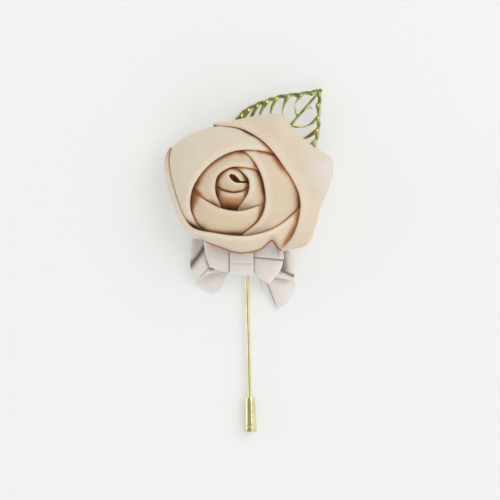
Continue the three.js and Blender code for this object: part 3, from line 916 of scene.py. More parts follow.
@dataclass
class Rose:
    """The bloom: nested ribbon petals on a stiff cloth base, closed in the middle by a rolled bud.

    Lengths are millimetres. Petals count from the bud out, and marks are painted shade on the ribbon.

    Attributes:
        finishes: The finishes.
        petals: The petals.
        waves: Their unevenness.
        base_top: The height that they are sewn down to.
        foot_centre: The middle of their feet.
        foot_radii: The innermost foot's radius, what each petal adds, and how much more each time.
        rim_depth: A petal's depth at its rolled rim.
        foot_depth: Its depth at its foot.
        face_rows: Steps across its face.
        back_rows: Steps from its turned edge to its foot.
        columns: Points along it.
        end_shares: Places of the closer points at each end.
        middle_shares: Where the even points start and end.
        spread: The lower handle of its underside, innermost and outermost, as a share of the way out.
        lift: The same as a share of the way up.
        tuck: How soon the underside leaves the turned edge.
        face_run: How far the face runs out before it falls.
        face_fall: How far it has fallen there.
        face_turn: How high it still is where it turns.
        snug_reach: How far a face is moved out to the rims outside it.
        snug_press: How much further it goes where it lies at their height.
        snug_aside: How near a rim has to pass to count.
        snug_over: How far above a petal's rim another may lie and still count.
        snug_spread: Points over which the moves are evened out. It is odd.
        rim_middle: How far below its top a rolled rim is met.
        rim_samples: Points of each rim that a face may meet.
        hem_radius: The radius of a hem's roll.
        hem_ease: Stations over which a hem rises and ends.
        hem_fade: Where beside the turned edge a hem's painted shadow fades.
        fold_reach: How far a rim's painted shade spreads onto the face below it.
        fold_growth: How much further for each millimetre that it lies below.
        fold_power: How sharply that painted shade ends.
        line_from: Where beside a rim the painted shadow line starts to fade.
        line_reach: How far it fades over.
        line_fall: How far below the rim a face lies when the line is full.
        line_shade: The painted shadow line's mark.
        dusk_shade: The painted shade of a face that darkens towards its foot.
        rim_light: How far a rim takes its painted highlight.
        rim_band: How wide that is.
        back_shades: The underside's painted shade at the rim and how much it grows.
        back_run: Where that is full.
        sewn_share: Where across it a petal is down to one ribbon's depth.
        end_depths: The share of its depth at its ends, and over what length it grows.
        tip_depths: The same for the last bit.
        edge_steps: Points round a petal's edges.
    """

    finishes: Finishes
    petals: list[Petal]
    waves: Waves = Waves()
    base_top: float = 5.1
    foot_centre: Pair = (-1.0, 0.0)
    foot_radii: Triple = (2.3, 1.23, 0.02)
    rim_depth: float = 1.1
    foot_depth: float = 0.42
    face_rows: int = 26
    back_rows: int = 14
    columns: int = 230
    end_shares: tuple[float, ...] = (0.0, 0.003, 0.009, 0.018)
    middle_shares: Pair = (0.03, 0.97)
    spread: Pair = (0.02, 0.14)
    lift: Pair = (0.7, 0.5)
    tuck: float = 0.45
    face_run: float = 0.56
    face_fall: float = 0.12
    face_turn: float = 0.7
    snug_reach: float = 2.6
    snug_press: float = 0.4
    snug_aside: float = 0.35
    snug_over: float = 1.0
    snug_spread: int = 15
    rim_middle: float = 0.6
    rim_samples: int = 240
    hem_radius: float = 0.6
    hem_ease: float = 0.3
    hem_fade: Pair = (0.35, 1.05)
    fold_reach: float = 1.2
    fold_growth: float = 0.5
    fold_power: float = 1.7
    line_from: float = 0.45
    line_reach: float = 0.5
    line_fall: float = 0.25
    line_shade: float = 1.25
    dusk_shade: float = 1.35
    rim_light: float = 0.9
    rim_band: float = 1.3
    back_shades: Pair = (0.45, 0.4)
    back_run: float = 2.5
    sewn_share: float = 0.62
    end_depths: Pair = (0.35, 5.0)
    tip_depths: Pair = (0.15, 0.4)
    edge_steps: int = 7

    def shares(self) -> Array:
        """Places along a petal, closer together at its two ends."""
        ends = np.array(self.end_shares)
        return np.concatenate([ends, np.linspace(*self.middle_shares, self.columns), 1 - ends[::-1]])

    def outer_rims(self, layer: int) -> Array:
        """Every point of the rims outside one petal."""
        shares = np.linspace(0, 1, self.rim_samples)
        rims = [petal.rim(shares) for petal in self.petals[layer + 1:]]
        return np.concatenate(rims) if rims else np.zeros((0, 3))

    def folded_face(self, rim: Array, edge: Array) -> Array:
        """The part of a petal from its rim to the edge where it turns under."""
        fall = rim[:, 2] - edge[:, 2]
        near = rim + self.face_run * (edge - rim)
        near[:, 2] = rim[:, 2] - self.face_fall * fall
        turn = edge.copy()
        turn[:, 2] = edge[:, 2] + self.face_turn * fall
        return bezier(rim, near, turn, edge, self.face_rows)

    def snug(self, rim: Array, edge: Array, outward: Array, rims: Array, gap: float) -> Array:
        """A petal's turned edge, moved out until its face all but meets the rims outside it.

        The first round moves the edge itself up to a rim. The second moves it on until the face
        meets the rim at the rim's own height.

        Args:
            rim: The petal's rim.
            edge: Its turned edge.
            outward: The way out at each point of the edge.
            rims: The rims outside it.
            gap: The gap that stays.

        Returns:
            The moved edge.
        """
        if not len(rims):
            return edge
        for at_rim, most in ((False, self.snug_reach), (True, self.snug_press)):
            face = self.folded_face(rim, edge)
            offset = rims[None, :, :2] - edge[:, None, :2]
            ahead = np.sum(offset * outward[:, None, :2], axis=2)
            aside = np.linalg.norm(offset - ahead[..., None] * outward[:, None, :2], axis=2)
            reach = np.sum((face[..., :2] - edge[:, None, :2]) * outward[:, None, :2], axis=2)
            shift = np.zeros(len(edge))
            for k in range(len(edge)):
                heights = self.rim_middle - rims[:, 2]
                level = np.interp(heights, -face[k, :, 2], reach[k]) if at_rim else 0.0
                free = ahead[k] - level
                close = (aside[k] < self.snug_aside) & (free > 0) & (free < self.snug_reach)
                close &= rims[:, 2] < rim[k, 2] + self.snug_over
                if close.any():
                    shift[k] = min(most, max(0.0, free[close].min() - gap))
            even = np.ones(self.snug_spread) / self.snug_spread
            padded = np.pad(shift, self.snug_spread // 2, mode="edge")
            edge = edge + outward * np.convolve(padded, even, mode="valid")[:, None]
        return edge

    def face_grid(self, layer: int) -> Array:
        """A petal's outer face, from rim to foot.

        Args:
            layer: The petal's number, from the bud out.

        Returns:
            Its points, along the rim first and then across.
        """
        petal = self.petals[layer]
        rim, edge = petal.rim(self.shares()), petal.edge(self.shares())
        angle = np.arctan2(edge[:, 1] - petal.centre[1], edge[:, 0] - petal.centre[0])
        outward = np.stack([np.cos(angle), np.sin(angle), np.zeros_like(angle)], axis=1)
        edge = self.snug(rim, edge, outward, self.outer_rims(layer), petal.gap)
        first, step, growth = self.foot_radii
        foot_r = first + step * layer + growth * layer**2
        foot = outward * foot_r + np.array([*self.foot_centre, self.base_top])
        share = layer / (len(self.petals) - 1)
        spread, lift = (np.interp(share, (0, 1), ends) for ends in (self.spread, self.lift))
        drop = edge[:, 2] - foot[:, 2]
        span = np.linalg.norm((edge - foot)[:, :2], axis=1)
        tuck = edge.copy()
        tuck[:, 2] = edge[:, 2] - self.tuck * drop
        under = foot + outward * (spread * span)[:, None]
        under[:, 2] = foot[:, 2] + lift * drop
        back = bezier(edge, tuck, under, foot, self.back_rows)
        grid = np.concatenate([self.folded_face(rim, edge), back[:, 1:]], axis=1)
        middle = grid_normals(grid)[len(grid) // 2, 2]
        return grid if middle[2] > 0 else grid[::-1]

    def ruffled(self, petal: Petal, grid: Array) -> Array:
        """A petal's smooth face, with its hand-made waves and its rolled hem."""
        hem = petal.hem_roll * self.hem_runs(petal, grid) * bell(self.from_edge(grid), self.hem_radius)
        return grid + grid_normals(grid) * (self.waves.offset(grid, petal) + hem)[..., None]

    def from_edge(self, grid: Array) -> Array:
        """How far each point of a face lies from its turned edge."""
        across = run_length(grid, 1)
        return np.abs(across - across[:, self.face_rows - 1][:, None])

    def hem_runs(self, petal: Petal, grid: Array) -> Array:
        """Where along a petal its hem is rolled, from 0 to 1, in the order of its grid."""
        place = self.shares()[:, None] * (len(petal.stations) - 1)
        first = np.array(petal.stations[0][:2])
        if np.linalg.norm(grid[0, 0, :2] - first) > np.linalg.norm(grid[-1, 0, :2] - first):
            place = place[::-1]
        rolled = np.zeros_like(place)
        for run in petal.hem_runs:
            begun, ended = (smooth_step(at - self.hem_ease, at + self.hem_ease, place) for at in run)
            rolled = np.maximum(rolled, begun * (1 - ended))
        return rolled

    def depth(self, grid: Array) -> Array:
        """The ribbon's depth: full at the rolled rim, one ribbon at the foot, thin at both ends."""
        rows = grid.shape[1] - 1
        across = np.minimum(1.0, np.arange(rows + 1) / (self.sewn_share * rows))[None, :]
        along = run_length(grid, 0).mean(axis=1)
        gap = np.minimum(along, along[-1] - along)[:, None]
        least, run = self.end_depths
        swell = np.sqrt(np.clip(1 - (1 - np.clip(gap / run, 0, 1)) ** 2, 0, 1))
        tip, tip_run = self.tip_depths
        ends = (least + (1 - least) * swell) * np.clip(tip + gap / tip_run, 0, 1)
        return (self.rim_depth * (1 - across) + self.foot_depth * across) * ends

    def shade_marks(self, layer: int, grids: list[Array]) -> Array:
        """The painted shade of a face, from the rims outside it and from its own marks.

        Args:
            layer: The petal's number.
            grids: Every petal's face.

        Returns:
            The marks, in the face's own shape.
        """
        petal, grid = self.petals[layer], grids[layer]
        marks = np.zeros(grid.shape[:2])
        for other, outer in zip(self.petals[layer + 1:], grids[layer + 1:]):
            rim = outer[:, 0]
            gap = np.linalg.norm(grid[:, :, None, :2] - rim[None, None, :, :2], axis=-1)
            near = gap.min(axis=2)
            fall = np.maximum(0, rim[gap.argmin(axis=2), 2] - grid[..., 2])
            # Painted shade under each outer rim, spreading further where the face lies deeper below it, and a
            # painted shadow line beside the rim.
            reach = (self.fold_reach + self.fold_growth * fall) * petal.shadow * other.cast
            mark = np.clip(fall, 0, 1) * np.exp(-((near / reach) ** self.fold_power))
            marks = 1 - (1 - marks) * (1 - mark)
            line = bell(np.maximum(0, near - self.line_from), self.line_reach)
            marks = np.maximum(marks, self.line_shade * line * np.clip(fall / self.line_fall, 0, 1))
        return self.own_marks(petal, grid, marks)

    def own_marks(self, petal: Petal, grid: Array, marks: Array) -> Array:
        """A face's painted shade with the petal's own: its least shade, shade ramp, shaded ends, shadow
        strokes and hem shadow.

        Args:
            petal: The petal.
            grid: Its face.
            marks: The marks of the rims outside it.

        Returns:
            The marks of both kinds.
        """
        along = run_length(grid, 0).mean(axis=1)[:, None]
        end = np.minimum(along, along[-1] - along)
        faded = 1 - smooth_step(*self.hem_fade, self.from_edge(grid))
        own = [petal.tip_shade * bell(end, petal.tip_reach), petal.hem * self.hem_runs(petal, grid) * faded]
        own.extend(shade_stroke.marks(grid) for shade_stroke in petal.strokes)
        if petal.shade_ramp:
            own.append(self.dusk_shade * smooth_step(*petal.shade_ramp, run_length(grid, 1)))
        marks = np.maximum(marks, petal.shade)
        for mark in own:
            marks = np.maximum(marks, mark)
        return marks

    def build(self) -> None:
        """Makes every petal and the core of the bud, and gives the base under them its finish."""
        satin = self.finishes.of(self.finishes.champagne)
        grids = [self.ruffled(petal, self.face_grid(k)) for k, petal in enumerate(self.petals)]
        for k, (petal, grid) in enumerate(zip(self.petals, grids)):
            below = run_length(grid, 1)
            # Each sheet carries painted shade on its face and back, painted light, and a painted highlight
            # along its rim.
            shade, growth = self.back_shades
            sheet = Ribbon(
                petal.name + "_ribbon",
                grid,
                self.depth(grid) * petal.bulk,
                self.shade_marks(k, grids),
                shade + growth * smooth_step(0.0, self.back_run, below),
                petal.painted_light_marks(grid),
                self.rim_light * bell(below, self.rim_band),
                self.edge_steps,
            )
            piece = sheet.build(satin)
            settle(piece, Body.BLOOM, (petal.name,))
        BudCore(satin, (*self.foot_centre, self.base_top)).build()
        dress_solid("rose_base", self.finishes.of(self.finishes.buckram))


@dataclass
class BudCore:
    """The tight roll of ribbon in the eye of the bud.

    Attributes:
        satin: Its material.
        low: The middle of its foot.
        top: The middle of its top.
        turns: How often it is rolled round.
        steps: Points along the roll.
        rows: Points down it.
        radii: Its radius at the start of the roll, and how much that grows.
        taper: How much narrower its foot is.
        sink: How far its inner end is pushed down.
        depth: The ribbon's depth.
        shade: Its painted shade, all over.
    """

    satin: Material
    low: Triple
    top: Triple = (-5.2, 0.8, 17.6)
    turns: float = 2.4
    steps: int = 72
    rows: int = 14
    radii: Pair = (0.35, 0.95)
    taper: float = 0.3
    sink: float = 0.5
    depth: float = 0.3
    shade: float = 0.75

    def build(self) -> None:
        """Rolls the ribbon up."""
        share = np.linspace(0, 1, self.steps)[:, None]
        down = np.linspace(0, 1, self.rows)[None, :]
        angle = share * self.turns * math.tau
        radius = (self.radii[0] + self.radii[1] * share) * (1 - self.taper * down)
        roll = (radius * np.cos(angle), radius * np.sin(angle), -self.sink * (1 - share) * (1 - down))
        centre = (top * (1 - down) + low * down for top, low in zip(self.top, self.low))
        grid = np.stack([middle + off for middle, off in zip(centre, roll)], axis=-1)
        piece = Ribbon("bud_core_roll", grid, self.depth, self.shade, self.shade).build(self.satin)
        settle(piece, Body.BLOOM, ("bud_core",))


# In the petals below, shade, shade strokes, tip shade, shade ramps, hems and cast are painted shade; the
# light share and the lobe are painted light.
ROSE_PETALS = [
    Petal(
        "bud_roll",
        (-5.4, 0.5),
        [
            (-3.0, 0.1, 20.3, -0.8, 0.05, 12.5),
            (-3.6, 1.2, 20.8, -1.5, 2.6, 12.5),
            (-4.9, 2.4, 21.1, -3.4, 3.9, 12.5),
            (-6.2, 2.7, 21.3, -6.8, 4.1, 12.5),
            (-7.0, 2.0, 21.4, -9.9, 2.2, 12.5),
            (-6.6, 0.7, 21.4, -10.2, -1.0, 12.5),
            (-5.4, -0.4, 21.3, -7.0, -3.0, 12.5),
            (-4.3, -0.75, 21.1, -3.2, -2.6, 12.5),
            (-3.1, -0.5, 20.7, -0.8, -0.45, 12.5),
        ],
        phase=0.4,
        waves=0.03,
        bulk=0.6,
        shade=0.12,
        strokes=(
            ShadeStroke(((-7.0, 4.1), (-5.7, 4.5), (-4.4, 4.5)), 0.6, 1.3),
            ShadeStroke(((-10.9, -1.2), (-8.9, -2.7), (-5.2, -3.5), (-2.0, -2.9), (-0.4, -1.4)), 0.36, 1.5, 0.1),
        ),
    ),
    Petal(
        "bud_lap",
        (-5, -0.3),
        [
            (-11.0, -2.0, 16.6, -11.5, -3.6, 13),
            (-8.8, -3.6, 18.6, -9.4, -8.2, 13.5),
            (-5.2, -4.3, 19.2, -5.2, -9.4, 13.5),
            (-2.0, -3.6, 18.6, -1.8, -7.6, 13.5),
            (0.2, -1.6, 17.0, 0.7, -2.8, 13),
        ],
        phase=1.1,
        waves=0.04,
        shadow=1.2,
        shade=0.16,
        shade_ramp=(-1.2, 5.4),
        cast=0.6,
        tip_shade=0.5,
    ),
    Petal(
        "petal_1",
        (-5, -0.5),
        [
            (-6.8, 5.5, 17.2, -7.2, 7.3, 12),
            (-2.4, 3.5, 20.0, -0.8, 7.0, 12),
            (0.2, 0.6, 21.0, 4.2, 2.4, 12),
            (-0.2, -3.8, 19.8, 3.9, -6.4, 17.2),
            (-4.0, -9.5, 17.2, -1.6, -11.0, 17.6),
        ],
        phase=2.3,
        waves=0.05,
        tip_shade=0.5,
    ),
    Petal(
        "petal_2",
        (-5, -0.5),
        [
            (3.0, 3.7, 18.8, 5.6, 5.8, 13.5),
            (-1.0, 4.9, 20.2, 0.8, 9.2, 13.5),
            (-6.4, 5.0, 20.8, -8.0, 10.2, 12.5),
            (-10.9, 1.8, 20.8, -17.5, 3.0, 12.5),
            (-11.6, -3.5, 19.6, -17.0, -4.6, 14.5),
            (-9.0, -9.4, 16.2, -9.5, -11.6, 13.0),
        ],
        phase=3.0,
        waves=0.06,
        shade=0.1,
        tip_shade=0.85,
        strokes=(
            ShadeStroke(((-17.2, 2.8), (-18.5, 0.2), (-18.0, -2.4), (-15.8, -4.7), (-13.0, -6.6)), 0.85, 1.3, 0.4),
        ),
    ),
    Petal(
        "petal_3",
        (-4, -0.5),
        [
            (-20.0, -2.2, 14.6, -20.8, -3.6, 12.3),
            (-14.8, -6.3, 18.6, -18.8, -9.6, 12.3),
            (-10.0, -9.0, 20.0, -13.2, -15.4, 12),
            (-4.1, -10.1, 20.3, -4.8, -16.6, 12),
            (1.2, -9.0, 19.4, 2.6, -13.0, 12),
            (7.0, -5.6, 16.4, 8.2, -7.6, 12),
        ],
        phase=3.9,
        waves=0.07,
        shadow=1.7,
        cast=0.5,
        shade=0.09,
        strokes=(
            ShadeStroke(
                ((-19.2, -8.0), (-18.6, -10.6), (-17.4, -13.0), (-16.2, -14.8), (-15.2, -15.8)), 0.5, 1.4, 0.1
            ),
        ),
    ),
    Petal(
        "petal_4",
        (-3, -0.5),
        [
            (-5.6, 12.2, 16.4, -6.0, 13.4, 12),
            (0.1, 8.6, 19.6, 3.0, 13.0, 12),
            (3.5, 3.7, 20.8, 11.4, 7.8, 14.5),
            (5.3, -2.5, 20.8, 18.0, 1.0, 15.5),
            (5.3, -8.3, 19.8, 15.6, -8.6, 14.6),
            (3.2, -12.8, 18.2, 8.6, -14.4, 16.9),
            (-2.4, -17.4, 16.4, -0.8, -18.3, 16.0),
        ],
        phase=4.6,
        waves=0.07,
        shade=0.04,
        shadow=0.4,
        strokes=(
            ShadeStroke(((1.0, 10.0), (4.9, 9.4), (7.6, 8.5), (8.6, 7.8)), 0.65, 1.5),
            ShadeStroke(
                ((6.2, 9.0), (7.6, 8.0), (8.7, 6.9), (9.8, 5.3), (11.4, 3.1), (13.4, -0.3)), 1.1, 1.2, 0.4
            ),
        ),
    ),
    Petal(
        "petal_5",
        (-0.8, 0),
        [
            (9.4, 8.9, 17.9, 11.8, 11.4, 11.5),
            (2.5, 10.5, 19.6, 4.4, 14.2, 11.3),
            (-5.2, 10.2, 20.3, -5.0, 16.8, 11),
            (-11.9, 6.9, 20.5, -14.5, 17.2, 10.5),
            (-16.6, 2.1, 20.2, -24.8, 11.2, 10.8),
            (-19.4, -3.4, 19.2, -23.9, 0.0, 11.2),
            (-19.7, -9.0, 17.6, -21.3, -9.1, 12),
            (-17.6, -13.4, 15.2, -18.5, -13.9, 11.6),
            (-14.4, -16.2, 12.4, -14.6, -16.6, 10.8),
        ],
        phase=5.2,
        waves=0.08,
        painted_light=0.15,
        gap=0.5,
        hem=1.5,
        hem_runs=((-1.0, 2.6), (4.3, 9.0)),
        hem_roll=0.0,
    ),
    Petal(
        "petal_6",
        (-0.8, 0),
        [
            (-25.5, 11.2, 10.8, -25.9, 11.4, 8.9),
            (-26.4, 9.0, 11.6, -27.3, 9.0, 8.6),
            (-26.3, 4.0, 12.6, -27.7, 4.0, 8.6),
            (-23.3, -7.2, 14.2, -24.9, -7.4, 8.5),
            (-19.5, -15.0, 16.6, -20.4, -15.8, 9.5),
            (-10.6, -17.4, 18.4, -10.8, -20.2, 10.0),
            (-2.0, -18.1, 19.0, -3.0, -22.6, 10.5),
            (3.0, -17.4, 18.9, 3.0, -21.4, 10.4),
            (6.4, -16.4, 18.7, 7.1, -18.5, 11.0),
            (9.4, -14.7, 18.2, 10.0, -20.6, 10.3),
            (12.6, -12.3, 18.2, 13.0, -18.8, 10.3),
            (17.4, -7.8, 17.8, 18.6, -11.5, 10.6),
        ],
        phase=0.9,
        waves=0.08,
        shadow=1.3,
        cast=0.5,
        tip_shade=0.5,
        tip_reach=4.0,
        strokes=(
            ShadeStroke(
                ((15.4, -11.6), (14.2, -15.0), (12.7, -17.8), (11.3, -20.0), (9.6, -22.2)), 0.95, 1.15, 0.3
            ),
        ),
        hem=1.5,
        hem_runs=((4.6, 9.3),),
    ),
    Petal(
        "petal_7",
        (0, 0),
        [
            (-11.9, 18.6, 10.9, -12.1, 18.8, 9.9),
            (-3.1, 17.6, 15.8, -1.0, 20.9, 10.0),
            (2.9, 14.4, 18.0, 6.8, 22.2, 10.3),
            (5.8, 11.9, 19.1, 10.6, 21.8, 10.5),
            (8.8, 8.4, 19.9, 14.3, 16.9, 10.8),
            (11.6, 4.4, 20.3, 20.6, 11.4, 11.0),
            (14.2, 0.4, 20.5, 26.6, 7.4, 11.0),
            (16.2, -4.2, 20.1, 26.4, 1.2, 11.0),
            (16.6, -9.0, 19.4, 22.9, -8.0, 11.0),
            (14.4, -16.8, 16.0, 18.7, -20.2, 10.0),
            (10.0, -22.2, 11.4, 10.4, -22.4, 9.6),
        ],
        phase=1.7,
        waves=0.1,
        bead=0.38,
        bead_run=1.7,
        painted_light=0.08,
        # A painted highlight over the right part of this petal.
        lobe=(26.0, 4.0, 8.0),
        shade=0.04,
        cast=1.6,
        tip_shade=0.15,
    ),
]


# Bow


@dataclass(frozen=True)
class Crease:
    """A line folded into the bow's ribbon and darkened with painted shade, with its ends as seen from above,
    in millimetres.

    Attributes:
        start: One end.
        end: The other end. Its left side, seen from the start, is the raised one.
        width: Half the line's width.
        sink: How deep it is pressed.
        shade: How dark its painted shade is.
        floor: The least height of the layer that it is folded into.
        ceiling: The greatest height of that layer.
        lift: How far the left side overhangs the line.
        layer_ease: How far from those heights it eases in and out.
        end_run: How far past its ends it fades.
        lip_ease: How far from the line the left side's rise is full.
        lip_run: How far it takes to fall off again.
    """

    start: Pair
    end: Pair
    width: float
    sink: float
    shade: float
    floor: float
    ceiling: float = 9.0
    lift: float = 0.0
    layer_ease: float = 0.2
    end_run: float = 0.6
    lip_ease: float = 0.3
    lip_run: float = 2.2

    def press(self, grid: Array) -> tuple[Array, Array]:
        """How far the fold moves each point up, and how much painted shade it gives it."""
        a, b = np.array(self.start), np.array(self.end)
        length = np.linalg.norm(b - a)
        run = (b - a) / length
        offset = grid[..., :2] - a
        along = offset @ run
        beyond = np.maximum(0, np.maximum(-along, along - length))
        side = offset[..., 1] * run[0] - offset[..., 0] * run[1]
        over, under = (
            smooth_step(level - self.layer_ease, level + self.layer_ease, grid[..., 2])
            for level in (self.floor, self.ceiling)
        )
        inside = over * (1 - under) * bell(beyond, self.end_run)
        line = bell(side, self.width) * inside
        lip = smooth_step(0, self.lip_ease, side) * np.exp(-np.maximum(side, 0) / self.lip_run) * inside
        return self.lift * lip - self.sink * line, self.shade * line


@dataclass(frozen=True)
class BowLayer:
    """One ribbon of the bow.

    Attributes:
        name: The piece's name.
        rests_on: What it lies on. It is not used.
        painted_light: How much of the painted light tone it takes.
        nodes: The solids that it replaces.
        stations: Points across it, station by station along it.
    """

    name: str
    rests_on: str
    painted_light: float
    nodes: tuple[str, ...]
    stations: tuple[tuple[Triple, ...], ...]


@dataclass
class Bow:
    """The bow: a ribbon of two tails, a long and a short pair of loops over it, and a band round all.

    Sizes are in millimetres. The gathers that the band pulls in are waves across the ribbon.
    """

    finishes: Finishes
    layers: tuple[BowLayer, ...]
    creases: tuple[Crease, ...]
    ribbon_width: float = 10.0
    depth: float = 0.36
    along: int = 260
    across: int = 44
    middle: float = -2.7
    gather_run: float = 5.5
    gather_edge: float = 0.12
    gather_turns: float = 2.5
    gather_start: float = 0.6
    gather_height: float = 0.1
    # Painted shade on the back of every ribbon.
    back_shade: float = 0.1

    def ribbon_grid(self, layer: BowLayer) -> Array:
        """A ribbon's face through its stations, smooth along it and across it."""
        table = np.array(layer.stations, dtype=float)
        shares = np.linspace(0, 1, self.along)
        tracks = np.stack([curve_through(table[:, k], shares) for k in range(table.shape[1])], axis=1)
        across = np.linspace(0, 1, self.across)
        return np.stack([curve_through(track, across) for track in tracks])

    def gathered(self, grid: Array) -> Array:
        """A ribbon's face with the gathers that the band pulls into it."""
        share = np.linspace(0, 1, grid.shape[1])[None, :]
        sides = smooth_step(0.0, self.gather_edge, share) * smooth_step(0.0, self.gather_edge, 1 - share)
        pull = bell(np.abs(grid[..., 0] - self.middle), self.gather_run) * sides
        wave = np.sin(share * math.tau * self.gather_turns + self.gather_start) * self.gather_height
        return grid + grid_normals(grid) * (wave * pull)[..., None]

    def build(self) -> None:
        """Makes the pieces of the bow, from the tails up to the band."""
        satin = self.finishes.of(self.finishes.lilac)
        for layer in self.layers:
            grid = self.gathered(self.ribbon_grid(layer))
            smooth = grid.copy()
            # fold gathers the painted shade of the creases.
            fold = np.zeros(grid.shape[:2])
            for crease in self.creases:
                rise, shade = crease.press(smooth)
                grid[..., 2] += rise
                fold = np.maximum(fold, shade)
            sheet = Ribbon(layer.name, grid, self.depth, fold, fold + self.back_shade, layer.painted_light)
            piece = sheet.build(satin)
            settle(piece, Body.BLOOM, layer.nodes)
        KnotBand(satin, self.ribbon_width, self.back_shade).build()


@dataclass
class KnotBand:
    """The ribbon round the middle of the bow, creased across its front. Its sizes are in millimetres."""

    satin: Material
    ribbon_width: float
    back_shade: float
    wide: Pair = (-6.3, 0.9)
    tall: Pair = (-29.9, -22.2)
    deep: Pair = (3.1, 7.5)
    corner: float = 1.0
    corner_steps: int = 8
    steps: int = 120
    rows: int = 30
    depth: float = 0.42
    front: Pair = (6.4, 7.3)
    crease_at: float = -26.4
    crease_width: float = 0.35
    sink: float = 0.22
    shade: float = 0.1

    def outline(self) -> Array:
        """The band's closed outline from the side, as Y and Z."""
        low_y, high_y = self.tall[0] + self.corner, self.tall[1] - self.corner
        low_z, high_z = self.deep[0] + self.corner, self.deep[1] - self.corner
        middles = ((high_y, high_z), (low_y, high_z), (low_y, low_z), (high_y, low_z))
        arcs = []
        for quarter, middle in enumerate(middles):
            turn = (quarter + np.linspace(0, 1, self.corner_steps + 1)) * math.pi / 2
            arcs.append(np.array(middle) + self.corner * np.stack([np.cos(turn), np.sin(turn)], axis=1))
        return np.concatenate([*arcs, arcs[0][:1]])

    def build(self) -> None:
        """Lays the ribbon round the outline and creases its front."""
        path = self.outline()
        walked = run_length(path, 0)
        at = np.linspace(0, walked[-1], self.steps)
        y, z = (np.interp(at, walked, path[:, axis])[:, None] for axis in (0, 1))
        x = np.linspace(*self.wide, self.rows)[None, :]
        grid = np.stack(np.broadcast_arrays(x, y, z), axis=-1)
        front = smooth_step(*self.front, grid[..., 2])
        crease = bell(grid[..., 1] - self.crease_at, self.crease_width) * front
        grid[..., 2] -= self.sink * crease
        # Painted shade along the crease, and more on the band's back.
        fold = self.shade * crease[::-1]
        band = Ribbon("bow_knot_band", grid[::-1], self.depth, fold, fold + self.back_shade)
        piece = band.build(self.satin)
        settle(piece, Body.BLOOM, ("bow_knot",))
